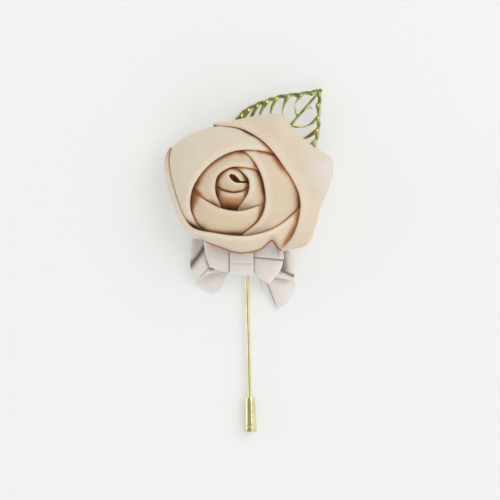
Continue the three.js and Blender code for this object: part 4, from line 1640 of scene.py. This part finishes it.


# The third value of each layer is its share of painted light.
BOW_LAYERS = (
    BowLayer("bow_tails_ribbon", "pin_wire", 0.9, ("bow_tails",), (
        ((-17.9, -32.8, 0.6), (-14.8, -34.6, 0.9), (-11.6, -36.1, 0.5)),
        ((-13.4, -29.6, 1.7), (-11.3, -31.6, 2.1), (-9.0, -33.6, 1.6)),
        ((-9.2, -26.4, 3.0), (-8.6, -28.2, 3.1), (-7.6, -30.0, 3.0)),
        ((-6.0, -24.8, 4.1), (-6.0, -26.8, 4.1), (-6.0, -28.5, 4.1)),
        ((-2.6, -24.8, 4.05), (-2.6, -26.8, 4.05), (-2.6, -28.5, 4.05)),
        ((0.7, -24.8, 4.1), (0.7, -26.8, 4.1), (0.7, -28.5, 4.1)),
        ((4.4, -26.6, 3.0), (3.4, -28.4, 3.2), (2.4, -30.2, 3.1)),
        ((10.2, -28.6, 1.9), (6.2, -31.4, 2.6), (3.6, -33.0, 1.9)),
        ((14.2, -31.4, 1.4), (8.6, -34.6, 2.3), (5.6, -35.4, 1.2)),
        ((14.6, -34.8, 1.0), (10.6, -37.8, 1.9), (7.2, -38.4, 0.9)),
        ((14.0, -36.2, 0.8), (11.6, -39.6, 1.4), (9.0, -41.3, 0.7)),
    )),
    BowLayer("bow_lower_loops", "bow_tails_ribbon", 0.2, (), (
        ((-3.1, -23.5, 4.75), (-3.1, -25.2, 4.75), (-3.1, -27.0, 4.75), (-3.1, -28.7, 4.75)),
        ((-7.4, -23.3, 4.7), (-7.4, -25.2, 4.7), (-7.4, -27.0, 4.7), (-7.4, -28.8, 4.7)),
        ((-13.6, -19.8, 3.9), (-13.7, -23.0, 3.9), (-13.5, -26.4, 3.8), (-13.2, -29.6, 3.5)),
        ((-17.6, -18.6, 3.2), (-18.0, -22.6, 3.2), (-18.2, -27.2, 3.0), (-16.4, -31.2, 2.9)),
        ((-18.5, -18.5, 3.5), (-19.0, -22.9, 3.7), (-19.2, -28.1, 3.6), (-17.3, -31.8, 3.2)),
        ((-18.1, -18.5, 4.0), (-18.4, -22.7, 4.4), (-18.5, -27.6, 4.8), (-16.8, -31.3, 3.9)),
        ((-15.6, -19.0, 4.6), (-15.5, -22.6, 5.0), (-15.2, -26.6, 5.4), (-14.2, -29.9, 4.6)),
        ((-11.6, -21.0, 5.1), (-11.4, -23.6, 5.2), (-11.0, -26.4, 5.2), (-10.2, -29.0, 4.9)),
        ((-7.0, -23.3, 5.2), (-7.0, -25.1, 5.2), (-7.0, -27.0, 5.2), (-7.0, -28.8, 5.2)),
        ((-2.7, -23.5, 5.2), (-2.7, -25.2, 5.2), (-2.7, -27.0, 5.2), (-2.7, -28.7, 5.2)),
        ((1.5, -23.3, 5.2), (1.5, -25.1, 5.2), (1.5, -27.0, 5.2), (1.4, -28.8, 5.2)),
        ((6.2, -21.9, 5.0), (6.5, -24.6, 5.1), (6.3, -27.4, 5.1), (5.6, -30.0, 4.9)),
        ((11.0, -21.6, 4.7), (12.6, -24.8, 4.9), (12.8, -28.4, 4.9), (12.2, -31.4, 4.4)),
        ((12.2, -22.4, 4.1), (14.1, -25.3, 4.2), (14.5, -28.6, 4.2), (13.8, -31.4, 3.9)),
        ((10.4, -22.6, 3.8), (11.6, -25.2, 3.8), (11.6, -28.2, 3.8), (10.8, -30.6, 3.6)),
        ((5.0, -23.3, 4.6), (5.0, -25.2, 4.6), (4.8, -27.2, 4.6), (4.6, -29.2, 4.5)),
        ((-2.1, -23.5, 4.75), (-2.1, -25.2, 4.75), (-2.1, -27.0, 4.75), (-2.1, -28.7, 4.75)),
    )),
    BowLayer("bow_upper_loops", "bow_lower_loops", 0.4, ("bow_loops",), (
        ((-3.1, -22.6, 5.75), (-3.1, -24.8, 5.75), (-3.1, -26.9, 5.75), (-3.1, -28.8, 5.75)),
        ((-7.2, -21.8, 5.8), (-7.2, -24.4, 5.8), (-7.2, -26.8, 5.8), (-7.2, -28.8, 5.8)),
        ((-12.6, -19.0, 6.0), (-12.0, -22.4, 6.0), (-11.3, -25.4, 6.0), (-10.6, -28.3, 6.0)),
        ((-14.5, -18.3, 6.2), (-14.0, -21.3, 6.2), (-13.3, -24.5, 6.2), (-12.4, -27.5, 6.2)),
        ((-14.9, -18.1, 6.7), (-14.5, -21.2, 6.8), (-13.8, -24.5, 6.8), (-12.8, -27.5, 6.7)),
        ((-14.4, -18.4, 7.15), (-14.0, -21.3, 7.3), (-13.3, -24.5, 7.35), (-12.3, -27.6, 7.2)),
        ((-11.6, -19.4, 7.1), (-11.1, -22.5, 7.4), (-10.7, -25.5, 7.45), (-10.1, -28.2, 7.1)),
        ((-7.0, -21.6, 6.7), (-7.0, -24.2, 6.9), (-7.0, -26.8, 6.9), (-7.0, -29.0, 6.6)),
        ((-2.7, -22.6, 6.5), (-2.7, -24.8, 6.5), (-2.7, -26.9, 6.5), (-2.7, -28.8, 6.5)),
        ((1.6, -22.0, 6.7), (1.6, -24.6, 6.9), (1.6, -27.0, 6.9), (1.5, -29.4, 6.6)),
        ((4.7, -20.4, 7.6), (5.2, -23.8, 7.3), (4.8, -27.6, 7.2), (3.4, -31.3, 6.9)),
        ((7.5, -18.6, 8.2), (9.9, -23.2, 7.3), (9.0, -28.0, 7.2), (5.6, -32.4, 6.8)),
        ((8.0, -18.7, 7.8), (10.6, -23.4, 6.8), (9.6, -28.3, 6.6), (6.0, -32.8, 6.3)),
        ((8.0, -19.9, 6.1), (10.0, -23.8, 6.0), (9.0, -28.1, 6.0), (5.6, -32.3, 5.9)),
        ((4.7, -20.6, 5.9), (5.2, -23.8, 5.9), (4.8, -27.4, 5.9), (3.6, -30.9, 5.8)),
        ((1.4, -22.2, 5.8), (1.4, -24.6, 5.8), (1.4, -26.9, 5.8), (1.4, -28.9, 5.8)),
        ((-2.1, -22.7, 5.75), (-2.1, -24.8, 5.75), (-2.1, -26.9, 5.75), (-2.1, -28.7, 5.75)),
    )),
)

# Each crease also paints shade along its line.
BOW_CREASES = (
    Crease((11.0, -25.3), (1.2, -24.3), 0.3, 0.45, 1.0, 6.6, lift=-0.3),
    Crease((8.3, -19.8), (9.2, -23.0), 0.22, 0.2, 0.6, 6.7),
    Crease((-6.8, -22.6), (-6.8, -29.4), 0.25, 0.1, 0.4, 6.4),
    Crease((1.4, -22.6), (1.4, -29.9), 0.25, 0.1, 0.4, 6.4),
    Crease((-14.6, -20.9), (-19.2, -27.2), 1.0, 0.6, 0.95, 3.9, 5.9),
    Crease((-12.6, -26.8), (-17.0, -31.6), 0.3, 0.2, 0.5, 4.2, 5.9),
    Crease((-17.3, -17.8), (-17.6, -23.4), 2.2, 0.0, 0.2, 3.2, 5.9),
    Crease((-14.6, -17.8), (-12.6, -28.0), 0.9, 0.0, 0.85, 4.2, 5.9),
    Crease((9.6, -20.4), (11.0, -29.0), 1.5, 0.0, 0.8, 4.2, 5.7),
    Crease((9.0, -28.0), (14.4, -30.6), 0.6, 0.4, 1.0, 3.7, 5.7),
    Crease((5.5, -32.2), (8.6, -40.6), 0.3, 0.3, 0.8, 0.9, 3.0),
)


# Leaf


@dataclass
class Leaf:
    """The openwork leaf: midrib, scalloped margin and arched side veins of one cast piece.

    Places on it are distances from its base along the midrib and off it. Sizes are in millimetres,
    apart from the voxel in metres. It comes free of the rose from free_from on, is quite free at
    the share free_to of its length, and curls from there. Joins are where side veins meet the
    margin: the last one's place and the distance between them. A vein's widths are its half
    width, how that varies, and what it gains at the margin. A margin's are its half width and
    what it gains between scallops. A wave's turn is in radians along a vein, and its shift from
    vein to vein. Steps are points of the midrib, a margin and a vein.
    """

    finishes: Finishes
    base: Pair = (-6.6, -4.5)
    tip: Pair = (23.3, 30.5)
    level: float = 3.1
    thick: float = 0.62
    rise: float = 1.1
    droop: float = 0.09
    free_from: float = 17.0
    free_to: float = 0.7
    curl: float = 2.0
    half_widths: tuple[Pair, ...] = (
        (0, 0.4), (4, 4.5), (10, 10), (16, 13.8), (21.7, 15.3), (24.6, 15), (27.4, 14),
        (31.1, 12), (34, 10.3), (37.1, 7.9), (39.8, 5.2), (42.8, 2.7), (46, 0.2),
    )
    right_share: float = 0.88
    joins: int = 11
    left_joins: Pair = (39.9, 2.98)
    right_joins: Pair = (37.9, 3.3)
    rib_widths: Pair = (0.8, 0.42)
    spur: tuple[Pair, ...] = ((38.1, 0.0), (38.9, -0.9), (39.4, -1.7))
    spur_widths: Triple = (0.4, 0.36, 0.3)
    margin_from: float = 0.6
    margin_half: float = 0.45
    lobe: float = 0.85
    lobe_power: float = 0.7
    margin_widths: Pair = (0.62, 0.26)
    margin_tip: float = 5.0
    vein_lean: float = 0.85
    vein_back: float = 2.6
    vein_first: float = 1.0
    vein_arch: float = 0.45
    vein_power: float = 1.75
    vein_widths: Triple = (0.33, 0.05, 0.4)
    vein_uneven: Pair = (7.0, 2.3)
    vein_swell: Pair = (0.6, 1.0)
    vein_sway: Triple = (0.3, 3.1, 1.9)
    steps: tuple[int, int, int] = (60, 300, 26)
    voxel: float = 0.00014
    soft_steps: int = 5

    def axis(self) -> tuple[Array, Array, float]:
        """The leaf's direction, its left side's direction and its length."""
        run = np.array(self.tip) - np.array(self.base)
        length = float(np.linalg.norm(run))
        along = run / length
        return along, np.array([-along[1], along[0]]), length

    def place(self, path: Array) -> Array:
        """Turns places on the leaf into points of its middle surface."""
        along, side, length = self.axis()
        s, w = path[:, 0], path[:, 1]
        free = smooth_step(self.free_from, length * self.free_to, s)
        bend = np.sin(free * math.pi / 2 + np.maximum(0, s / length - self.free_to) * self.curl)
        z = self.level + self.rise * free * bend - self.droop * free * np.abs(w) + self.thick / 2
        flat = np.array(self.base) + s[:, None] * along + w[:, None] * side
        return np.concatenate([flat, z[:, None]], axis=1)

    def inner_width(self, s: Array) -> Array:
        """How far the bottoms of the margin's scallops lie off the midrib."""
        table = np.array(self.half_widths)
        return np.interp(s, table[:, 0], table[:, 1]) - self.margin_half - self.lobe

    def margin(self, side: float, last: float, pitch: float) -> tuple[Array, Array]:
        """The scalloped bar along one side.

        Args:
            side: 1 on the left, and the right half's share below zero on the right.
            last: Where the last vein joins it.
            pitch: The distance between joins.

        Returns:
            Its places on the leaf and its half widths.
        """
        length = self.axis()[2]
        s = np.linspace(self.margin_from, length, self.steps[1])
        beat = np.abs(np.sin(math.pi * (last - s) / pitch))
        edge = np.maximum(0, self.inner_width(s) + self.lobe * beat**self.lobe_power)
        width, gain = self.margin_widths
        widths = width + gain * (1 - beat) * smooth_step(length, length - self.margin_tip, s)
        return np.stack([s, side * edge], axis=1), widths

    def vein(self, side: float, end: float, number: int) -> tuple[Array, Array]:
        """One arched bar from the midrib to the margin.

        Args:
            side: 1 on the left, and the right half's share below zero on the right.
            end: Where it joins the margin.
            number: Its number from the tip, which sets how it strays.

        Returns:
            Its places on the leaf and its half widths.
        """
        reach = float(self.inner_width(np.array(end)))
        start = max(self.vein_first, end - self.vein_lean * reach - self.vein_back)
        t = np.linspace(0, 1, self.steps[2])
        s = start + (end - start) * ((1 - self.vein_arch) * t + self.vein_arch * t**2)
        out = reach * (1 - (1 - t) ** self.vein_power)
        sway, turn, shift = self.vein_sway
        stray = sway * np.sin(turn * t + shift * number) * t * (1 - t) * 4
        width, uneven, gain = self.vein_widths
        turn, shift = self.vein_uneven
        widths = width + uneven * np.sin(turn * t + shift * number) + gain * smooth_step(*self.vein_swell, t)
        return np.stack([s, side * (out + stray)], axis=1), widths

    def strands(self) -> list[tuple[Array, Array]]:
        """Every bar of the leaf, as its places and its half widths."""
        length = self.axis()[2]
        s = np.linspace(0, length, self.steps[0])
        found = [(np.stack([s, np.zeros_like(s)], axis=1), np.interp(s, (0, length), self.rib_widths))]
        found.append((np.array(self.spur), np.array(self.spur_widths)))
        for side, last, pitch in ((1.0, *self.left_joins), (-self.right_share, *self.right_joins)):
            found.append(self.margin(side, last, pitch))
            ends = enumerate(last - pitch * np.arange(self.joins))
            found.extend(self.vein(side, end, number) for number, end in ends)
        return found

    def tree(self) -> NodeTree:
        """Geometry nodes that turn the strands into uneven flattened bars."""
        inputs = {
            "Strands": ("NodeSocketGeometry", None),
            "Flatness": ("NodeSocketFloat", 0.62),
            "Roughness": ("NodeSocketFloat", 0.00009),
            "Patch": ("NodeSocketFloat", 900.0),
            "Finish": ("NodeSocketMaterial", None),
        }
        desk, start = new_group("leaf_bars", "GeometryNodeTree", inputs, {"Leaf": "NodeSocketGeometry"})
        curves = desk.add("GeometryNodeMeshToCurve", {"Mesh": start.outputs["Strands"]})
        width = desk.add("GeometryNodeInputNamedAttribute", {"Name": "width"}, data_type="FLOAT")
        sizes = {"Curve": curves.outputs[0], "Radius": width.outputs[0]}
        sized = desk.add("GeometryNodeSetCurveRadius", sizes)
        upright = desk.add("GeometryNodeSetCurveNormal", {"Curve": sized.outputs[0]}, mode="Z_UP")
        ring = desk.add("GeometryNodeCurvePrimitiveCircle", {"Resolution": 12, "Radius": 1.0})
        scale = desk.add("ShaderNodeCombineXYZ", {"X": 1.0, "Y": start.outputs["Flatness"], "Z": 1.0})
        oval = desk.add("GeometryNodeTransform", {"Geometry": ring.outputs[0], "Scale": scale.outputs[0]})
        bars = desk.add(
            "GeometryNodeCurveToMesh",
            {
                "Curve": upright.outputs[0],
                "Profile Curve": oval.outputs[0],
                "Scale": desk.add("GeometryNodeInputRadius").outputs[0],
                "Fill Caps": True,
            },
        )
        noise = desk.add("ShaderNodeTexNoise", {"Scale": start.outputs["Patch"], "Detail": 3.0})
        lift = desk.maths("SUBTRACT", noise.outputs[0], 0.5)
        amount = desk.maths("MULTIPLY", lift, start.outputs["Roughness"])
        normal = desk.add("GeometryNodeInputNormal")
        push = desk.add("ShaderNodeVectorMath", {0: normal.outputs[0], "Scale": amount}, operation="SCALE")
        rough = desk.add("GeometryNodeSetPosition", {"Geometry": bars.outputs[0], "Offset": push.outputs[0]})
        real = desk.add("GeometryNodeRealizeInstances", {"Geometry": rough.outputs[0]})
        values = {"Geometry": real.outputs[0], "Material": start.outputs["Finish"]}
        dressed = desk.add("GeometryNodeSetMaterial", values)
        desk.add("NodeGroupOutput", {"Leaf": dressed.outputs[0]})
        return desk.tree

    def build(self) -> None:
        """Lays the strands out, grows the bars round them and fuses them into one piece."""
        points, edges, widths = [], [], []
        for path, width in self.strands():
            first = len(points)
            points.extend((self.place(path) * MM).tolist())
            widths.extend((width * MM).tolist())
            edges.extend((first + k, first + k + 1) for k in range(len(path) - 1))
        mesh = bpy.data.meshes.new("leaf_strands")
        mesh.from_pydata(points, edges, [])
        mesh.attributes.new("width", "FLOAT", "POINT").data.foreach_set("value", widths)
        material = self.finishes.of(self.finishes.leaf_gilt)
        piece = grown(linked("leaf_strands", mesh), "leaf_openwork", self.tree(), {"Finish": material})
        fused(piece, self.voxel, self.soft_steps)
        piece.data.materials.clear()
        piece.data.materials.append(material)
        settle(piece, Body.BLOOM, ("leaf",))


def grown(source: Object, name: str, tree: NodeTree, values: dict) -> Object:
    """Runs a geometry node tree on an object and keeps the result as a plain mesh.

    Args:
        source: The object that the tree starts from. It is removed.
        name: The new piece's name.
        tree: The tree.
        values: Input values by socket name.

    Returns:
        The new piece.
    """
    modifier = source.modifiers.new("grow", "NODES")
    modifier.node_group = tree
    for item in tree.interface.items_tree:
        if item.item_type == "SOCKET" and item.in_out == "INPUT" and item.name in values:
            modifier[item.identifier] = values[item.name]
    graph = bpy.context.evaluated_depsgraph_get()
    mesh = bpy.data.meshes.new_from_object(source.evaluated_get(graph))
    mesh.name = name
    source.modifiers.remove(modifier)
    bpy.data.objects.remove(source)
    shade_smooth(mesh)
    return linked(name, mesh)


def fused(piece: Object, voxel: float, soft_steps: int) -> None:
    """Fuses a piece's overlapping bars into one skin and softens it.

    Args:
        piece: The piece, whose mesh is replaced.
        voxel: The skin's grid size in metres.
        soft_steps: How often it is smoothed.
    """
    remesh = piece.modifiers.new("fuse", "REMESH")
    remesh.mode = "VOXEL"
    remesh.voxel_size = voxel
    remesh.use_smooth_shade = True
    soften = piece.modifiers.new("soften", "SMOOTH")
    soften.factor = 0.5
    soften.iterations = soft_steps
    graph = bpy.context.evaluated_depsgraph_get()
    mesh = bpy.data.meshes.new_from_object(piece.evaluated_get(graph))
    piece.modifiers.clear()
    piece.data = mesh
    shade_smooth(mesh)


# Pin, clutch and felt


@dataclass(frozen=True)
class Spindle:
    """A straight line that round pieces are turned about.

    Attributes:
        origin: Its start, in millimetres.
        along: Its direction.
        side: The direction from it to the first corner of each ring.
    """

    origin: Triple = (0.0, 0.0, 0.0)
    along: Triple = (0.0, 0.0, 1.0)
    side: Triple = (1.0, 0.0, 0.0)

    def turned(self, name: str, profile: Profile, material: Material, sides: int = 64) -> Object:
        """A round piece about the line.

        Args:
            name: The piece's name.
            profile: Radius and distance along the line, point by point. A radius of 0 is a pole.
            material: The finish.
            sides: Faces round it.

        Returns:
            The piece.
        """
        origin, along, side = (np.array(vector) for vector in (self.origin, self.along, self.side))
        up = np.cross(along, side)
        rings, points = [], []
        for radius, distance in profile:
            corners = sides if radius else 1
            rings.append(range(len(points), len(points) + corners))
            for k in range(corners):
                a = math.tau * k / sides
                points.append(origin + along * distance + (side * math.cos(a) + up * math.sin(a)) * radius)
        faces = []
        for low, high in zip(rings, rings[1:]):
            for k in range(sides):
                m = (k + 1) % sides
                corners = (low[k % len(low)], low[m % len(low)], high[m % len(high)], high[k % len(high)])
                faces.append(tuple(dict.fromkeys(corners)))
        return mesh_object(name, np.array(points), faces, material)


def softened(profile: Profile, radius: float, steps: int = 4) -> Profile:
    """A profile with its inner corners rounded.

    Args:
        profile: Radius and distance pairs. The first and last stay as they are.
        radius: How far from a corner its rounding starts, at most.
        steps: Steps round each corner.

    Returns:
        The rounded profile.
    """
    most, least_radius = 0.45, 0.001
    made = [profile[0]]
    for before, corner, after in zip(profile, profile[1:], profile[2:]):
        p, c, q = (np.array(v, dtype=float) for v in (before, corner, after))
        back, on = p - c, q - c
        cut = min(radius, most * np.linalg.norm(back), most * np.linalg.norm(on))
        start, end = c + unit(back) * cut, c + unit(on) * cut
        for t in np.linspace(0, 1, steps + 1):
            point = start * (1 - t) ** 2 + c * 2 * t * (1 - t) + end * t**2
            made.append((max(float(point[0]), least_radius), float(point[1])))
    made.append(profile[-1])
    return made


@dataclass
class StickPin:
    """The gold wire, drawn thinner to its point, with the pad that it is soldered to.

    Sizes are in millimetres. Distances along the wire start at the middle of the pad.
    """

    finishes: Finishes
    line: Spindle
    upper_r: float = 0.75
    lower_r: float = 0.55
    point_r: float = 0.05
    upper_end: float = -4.0
    tip: float = 79.7
    point: float = 7.0
    point_power: float = 0.9
    steps: int = 8
    first_step: float = 0.15
    pad_r: float = 5.0
    pad_low: float = 2.2
    pad_thick: float = 0.6
    edge: float = 0.15

    def build(self) -> None:
        """Makes the wire and its pad."""
        gold = self.finishes.of(self.finishes.gold)
        shank = self.tip - self.point
        shares = np.linspace(self.first_step, 1, self.steps)
        profile = [(0.0, self.upper_end), (self.upper_r, self.upper_end)]
        for t in shares:
            radius = self.upper_r + (self.lower_r - self.upper_r) * t
            profile.append((radius, self.upper_end + (shank - self.upper_end) * t))
        for t in shares:
            taper = math.cos(t * math.pi / 2) ** self.point_power
            profile.append((self.point_r + (self.lower_r - self.point_r) * taper, shank + self.point * t))
        profile.append((0.0, self.tip))
        wire = self.line.turned("pin_wire", softened(profile, self.edge), gold, sides=40)
        settle(wire, Body.BLOOM, ("stick_pin",))
        rim = [(0.0, 0.0), (self.pad_r, 0.0), (self.pad_r, self.pad_thick), (0.0, self.pad_thick)]
        upright = Spindle((0.0, 0.0, self.pad_low))
        settle(upright.turned("pin_pad", softened(rim, self.edge), gold, sides=96), Body.BLOOM)


@dataclass
class Clutch:
    """The barrel clutch that closes the pin's point, with the nylon sleeve inside it.

    Sizes are in millimetres. The groove between barrel and cap is given as insets, and as
    distances from the start of the cap.
    """

    finishes: Finishes
    line: Spindle
    mouth: float = 70.2
    length: float = 11.3
    mouth_r: float = 1.68
    end_r: float = 2.05
    cap: float = 1.7
    neck: float = 0.08
    bore_r: float = 1.2
    hole_r: float = 0.85
    floor: float = 1.2
    lip: float = 0.8
    edge: float = 0.18
    groove: tuple[Pair, ...] = ((0.06, -0.16), (0.11, -0.08), (0.11, 0.02), (0.01, 0.1))
    barrel_from: float = 0.3
    barrel_end: float = 0.55
    barrel_steps: int = 6

    def build(self) -> None:
        """Makes the barrel and dresses the sleeve."""
        cap = self.length - self.cap
        swell = self.end_r - self.neck - self.mouth_r
        taper = np.linspace(0, 1, self.barrel_steps)[1:-1]
        run = cap - self.barrel_end
        profile = [
            (0.0, self.length - self.floor),
            (self.bore_r, self.length - self.floor),
            (self.bore_r, self.lip),
            (self.hole_r, self.lip),
            (self.hole_r, 0.0),
            (self.mouth_r, 0.0),
            *((self.mouth_r + swell * t, self.barrel_from + run * t) for t in taper),
            *((self.end_r - inset, cap + distance) for inset, distance in self.groove),
            (self.end_r, self.length),
            (0.0, self.length),
        ]
        placed = [(r, self.mouth + d) for r, d in softened(profile, self.edge)]
        barrel = self.line.turned("clutch_barrel", placed, self.finishes.of(self.finishes.gold))
        settle(barrel, Body.CLUTCH, ("clutch",))
        dress_solid("clutch_sleeve", self.finishes.of(self.finishes.nylon))


@dataclass
class FeltBack:
    """The round of felt that covers the pad, soft at its cut edge. Its rings are shares of its radius."""

    finishes: Finishes
    radius: float = 12.0
    thick: float = 1.0
    rings: Triple = (0.3, 0.6, 0.9)
    edge: float = 0.35

    def build(self) -> None:
        """Makes the felt."""
        under = [(self.radius * share, 0.0) for share in (0.0, *self.rings, 1.0)]
        profile = softened(under + [(radius, self.thick) for radius, _ in under[::-1]], self.edge)
        felt = Spindle().turned("felt_round", profile, self.finishes.of(self.finishes.felt), sides=96)
        settle(felt, Body.BLOOM, ("felt_back",))


# Studio


@dataclass(frozen=True)
class Lamp:
    """A square soft light that faces the piece. Its place, side and target are in metres."""

    name: str
    place: Triple
    size: float
    power: float
    target: Triple = (0.0, -0.02, 0.01)

    def build(self) -> None:
        """Makes the light."""
        data = bpy.data.lights.new(self.name, "AREA")
        data.energy = self.power
        data.size = self.size
        lamp = linked(self.name, data)
        lamp.location = self.place
        aim = Vector(self.target) - Vector(self.place)
        lamp.rotation_euler = aim.to_track_quat("-Z", "Y").to_euler()


@dataclass
class Studio:
    """A plain pale floor, soft lights and the camera above the piece.

    The floor glows for light from all round, and the surroundings darken on the way up named
    here, between two cosines. The floor and the centre are in millimetres.
    """

    lamps: tuple[Lamp, ...] = (
        Lamp("key", (0.5, 0.35, 0.7), 0.7, 3.0),
        Lamp("side", (-0.9, 0.15, 0.25), 0.6, 1.5),
        Lamp("front", (0.0, -0.7, 0.6), 0.9, 1.7),
    )
    floor_colour: Colour = (0.53, 0.535, 0.525)
    floor_glow: Colour = (0.33, 0.333, 0.325)
    floor_half: float = 1500.0
    floor_low: float = 0.02
    film: float = 36.0
    centre: Pair = (0.0, -22.0)
    distance: float = 0.82
    lens: float = 180.0
    sky_light: float = 0.92
    dark_way: Triple = (-0.4, 0.0, 0.917)
    dark_share: float = 0.42
    dark_range: Pair = (0.62, 0.82)

    def build(self) -> None:
        """Makes the floor, the lights, the surroundings and the camera."""
        bpy.context.scene.view_settings.view_transform = "Standard"
        self.floor()
        for lamp in self.lamps:
            lamp.build()
        self.surroundings()
        self.camera()

    def floor(self) -> None:
        """A square of plain floor, kept out of the piece."""
        material, desk = new_material("pale_floor")
        desk.principled(
            {
                "Base Color": opaque(self.floor_colour),
                "Roughness": 0.9,
                "Emission Color": opaque(self.floor_glow),
                "Emission Strength": 1.0,
            }
        )
        half, low = self.floor_half * MM, -self.floor_low * MM
        mesh = bpy.data.meshes.new("floor")
        corners = [(-half, -half, low), (half, -half, low), (half, half, low), (-half, half, low)]
        mesh.from_pydata(corners, [], [(0, 1, 2, 3)])
        mesh.materials.append(material)
        shade_smooth(mesh)
        linked("floor", mesh)

    def surroundings(self) -> None:
        """Even light from all round, darker from one way."""
        scene = bpy.context.scene
        scene.world = scene.world or bpy.data.worlds.new("studio")
        scene.world.use_nodes = True
        desk = Desk(scene.world.node_tree)
        way = desk.add("ShaderNodeTexCoord").outputs["Generated"]
        facing = desk.add("ShaderNodeVectorMath", {0: way, 1: self.dark_way}, operation="DOT_PRODUCT")
        strength = desk.add(
            "ShaderNodeMapRange",
            {
                "Value": facing.outputs["Value"],
                "From Min": self.dark_range[0],
                "From Max": self.dark_range[1],
                "To Min": self.sky_light,
                "To Max": self.sky_light * self.dark_share,
            },
        )
        sky = desk.add("ShaderNodeBackground", {"Color": (1, 1, 1, 1), "Strength": strength.outputs[0]})
        desk.add("ShaderNodeOutputWorld", {"Surface": sky.outputs[0]})

    def camera(self) -> None:
        """The camera, which looks straight down."""
        camera = linked("camera", bpy.data.cameras.new("camera"))
        camera.data.lens = self.lens
        camera.data.sensor_width = self.film
        camera.location = (self.centre[0] * MM, self.centre[1] * MM, self.distance)
        bpy.context.scene.camera = camera


def pin_line() -> Spindle:
    """The wire's line, from the pad's middle to the point: it leans a little to the right."""
    lean = math.radians(1.28)
    along = (math.sin(lean), -math.cos(lean), 0.0)
    return Spindle((-1.66, 0.0, 2.05), along, (math.cos(lean), math.sin(lean), 0.0))


def main() -> None:
    """Builds the studio and the boutonniere."""
    logging.basicConfig(level=logging.INFO, format="%(name)s: %(message)s")
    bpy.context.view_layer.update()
    Studio().build()
    finishes = Finishes()
    finishes.build()
    line = pin_line()
    FeltBack(finishes).build()
    StickPin(finishes, line).build()
    Clutch(finishes, line).build()
    Leaf(finishes).build()
    Rose(finishes, ROSE_PETALS).build()
    Bow(finishes, BOW_LAYERS, BOW_CREASES).build()


if __name__ == "__main__":
    main()
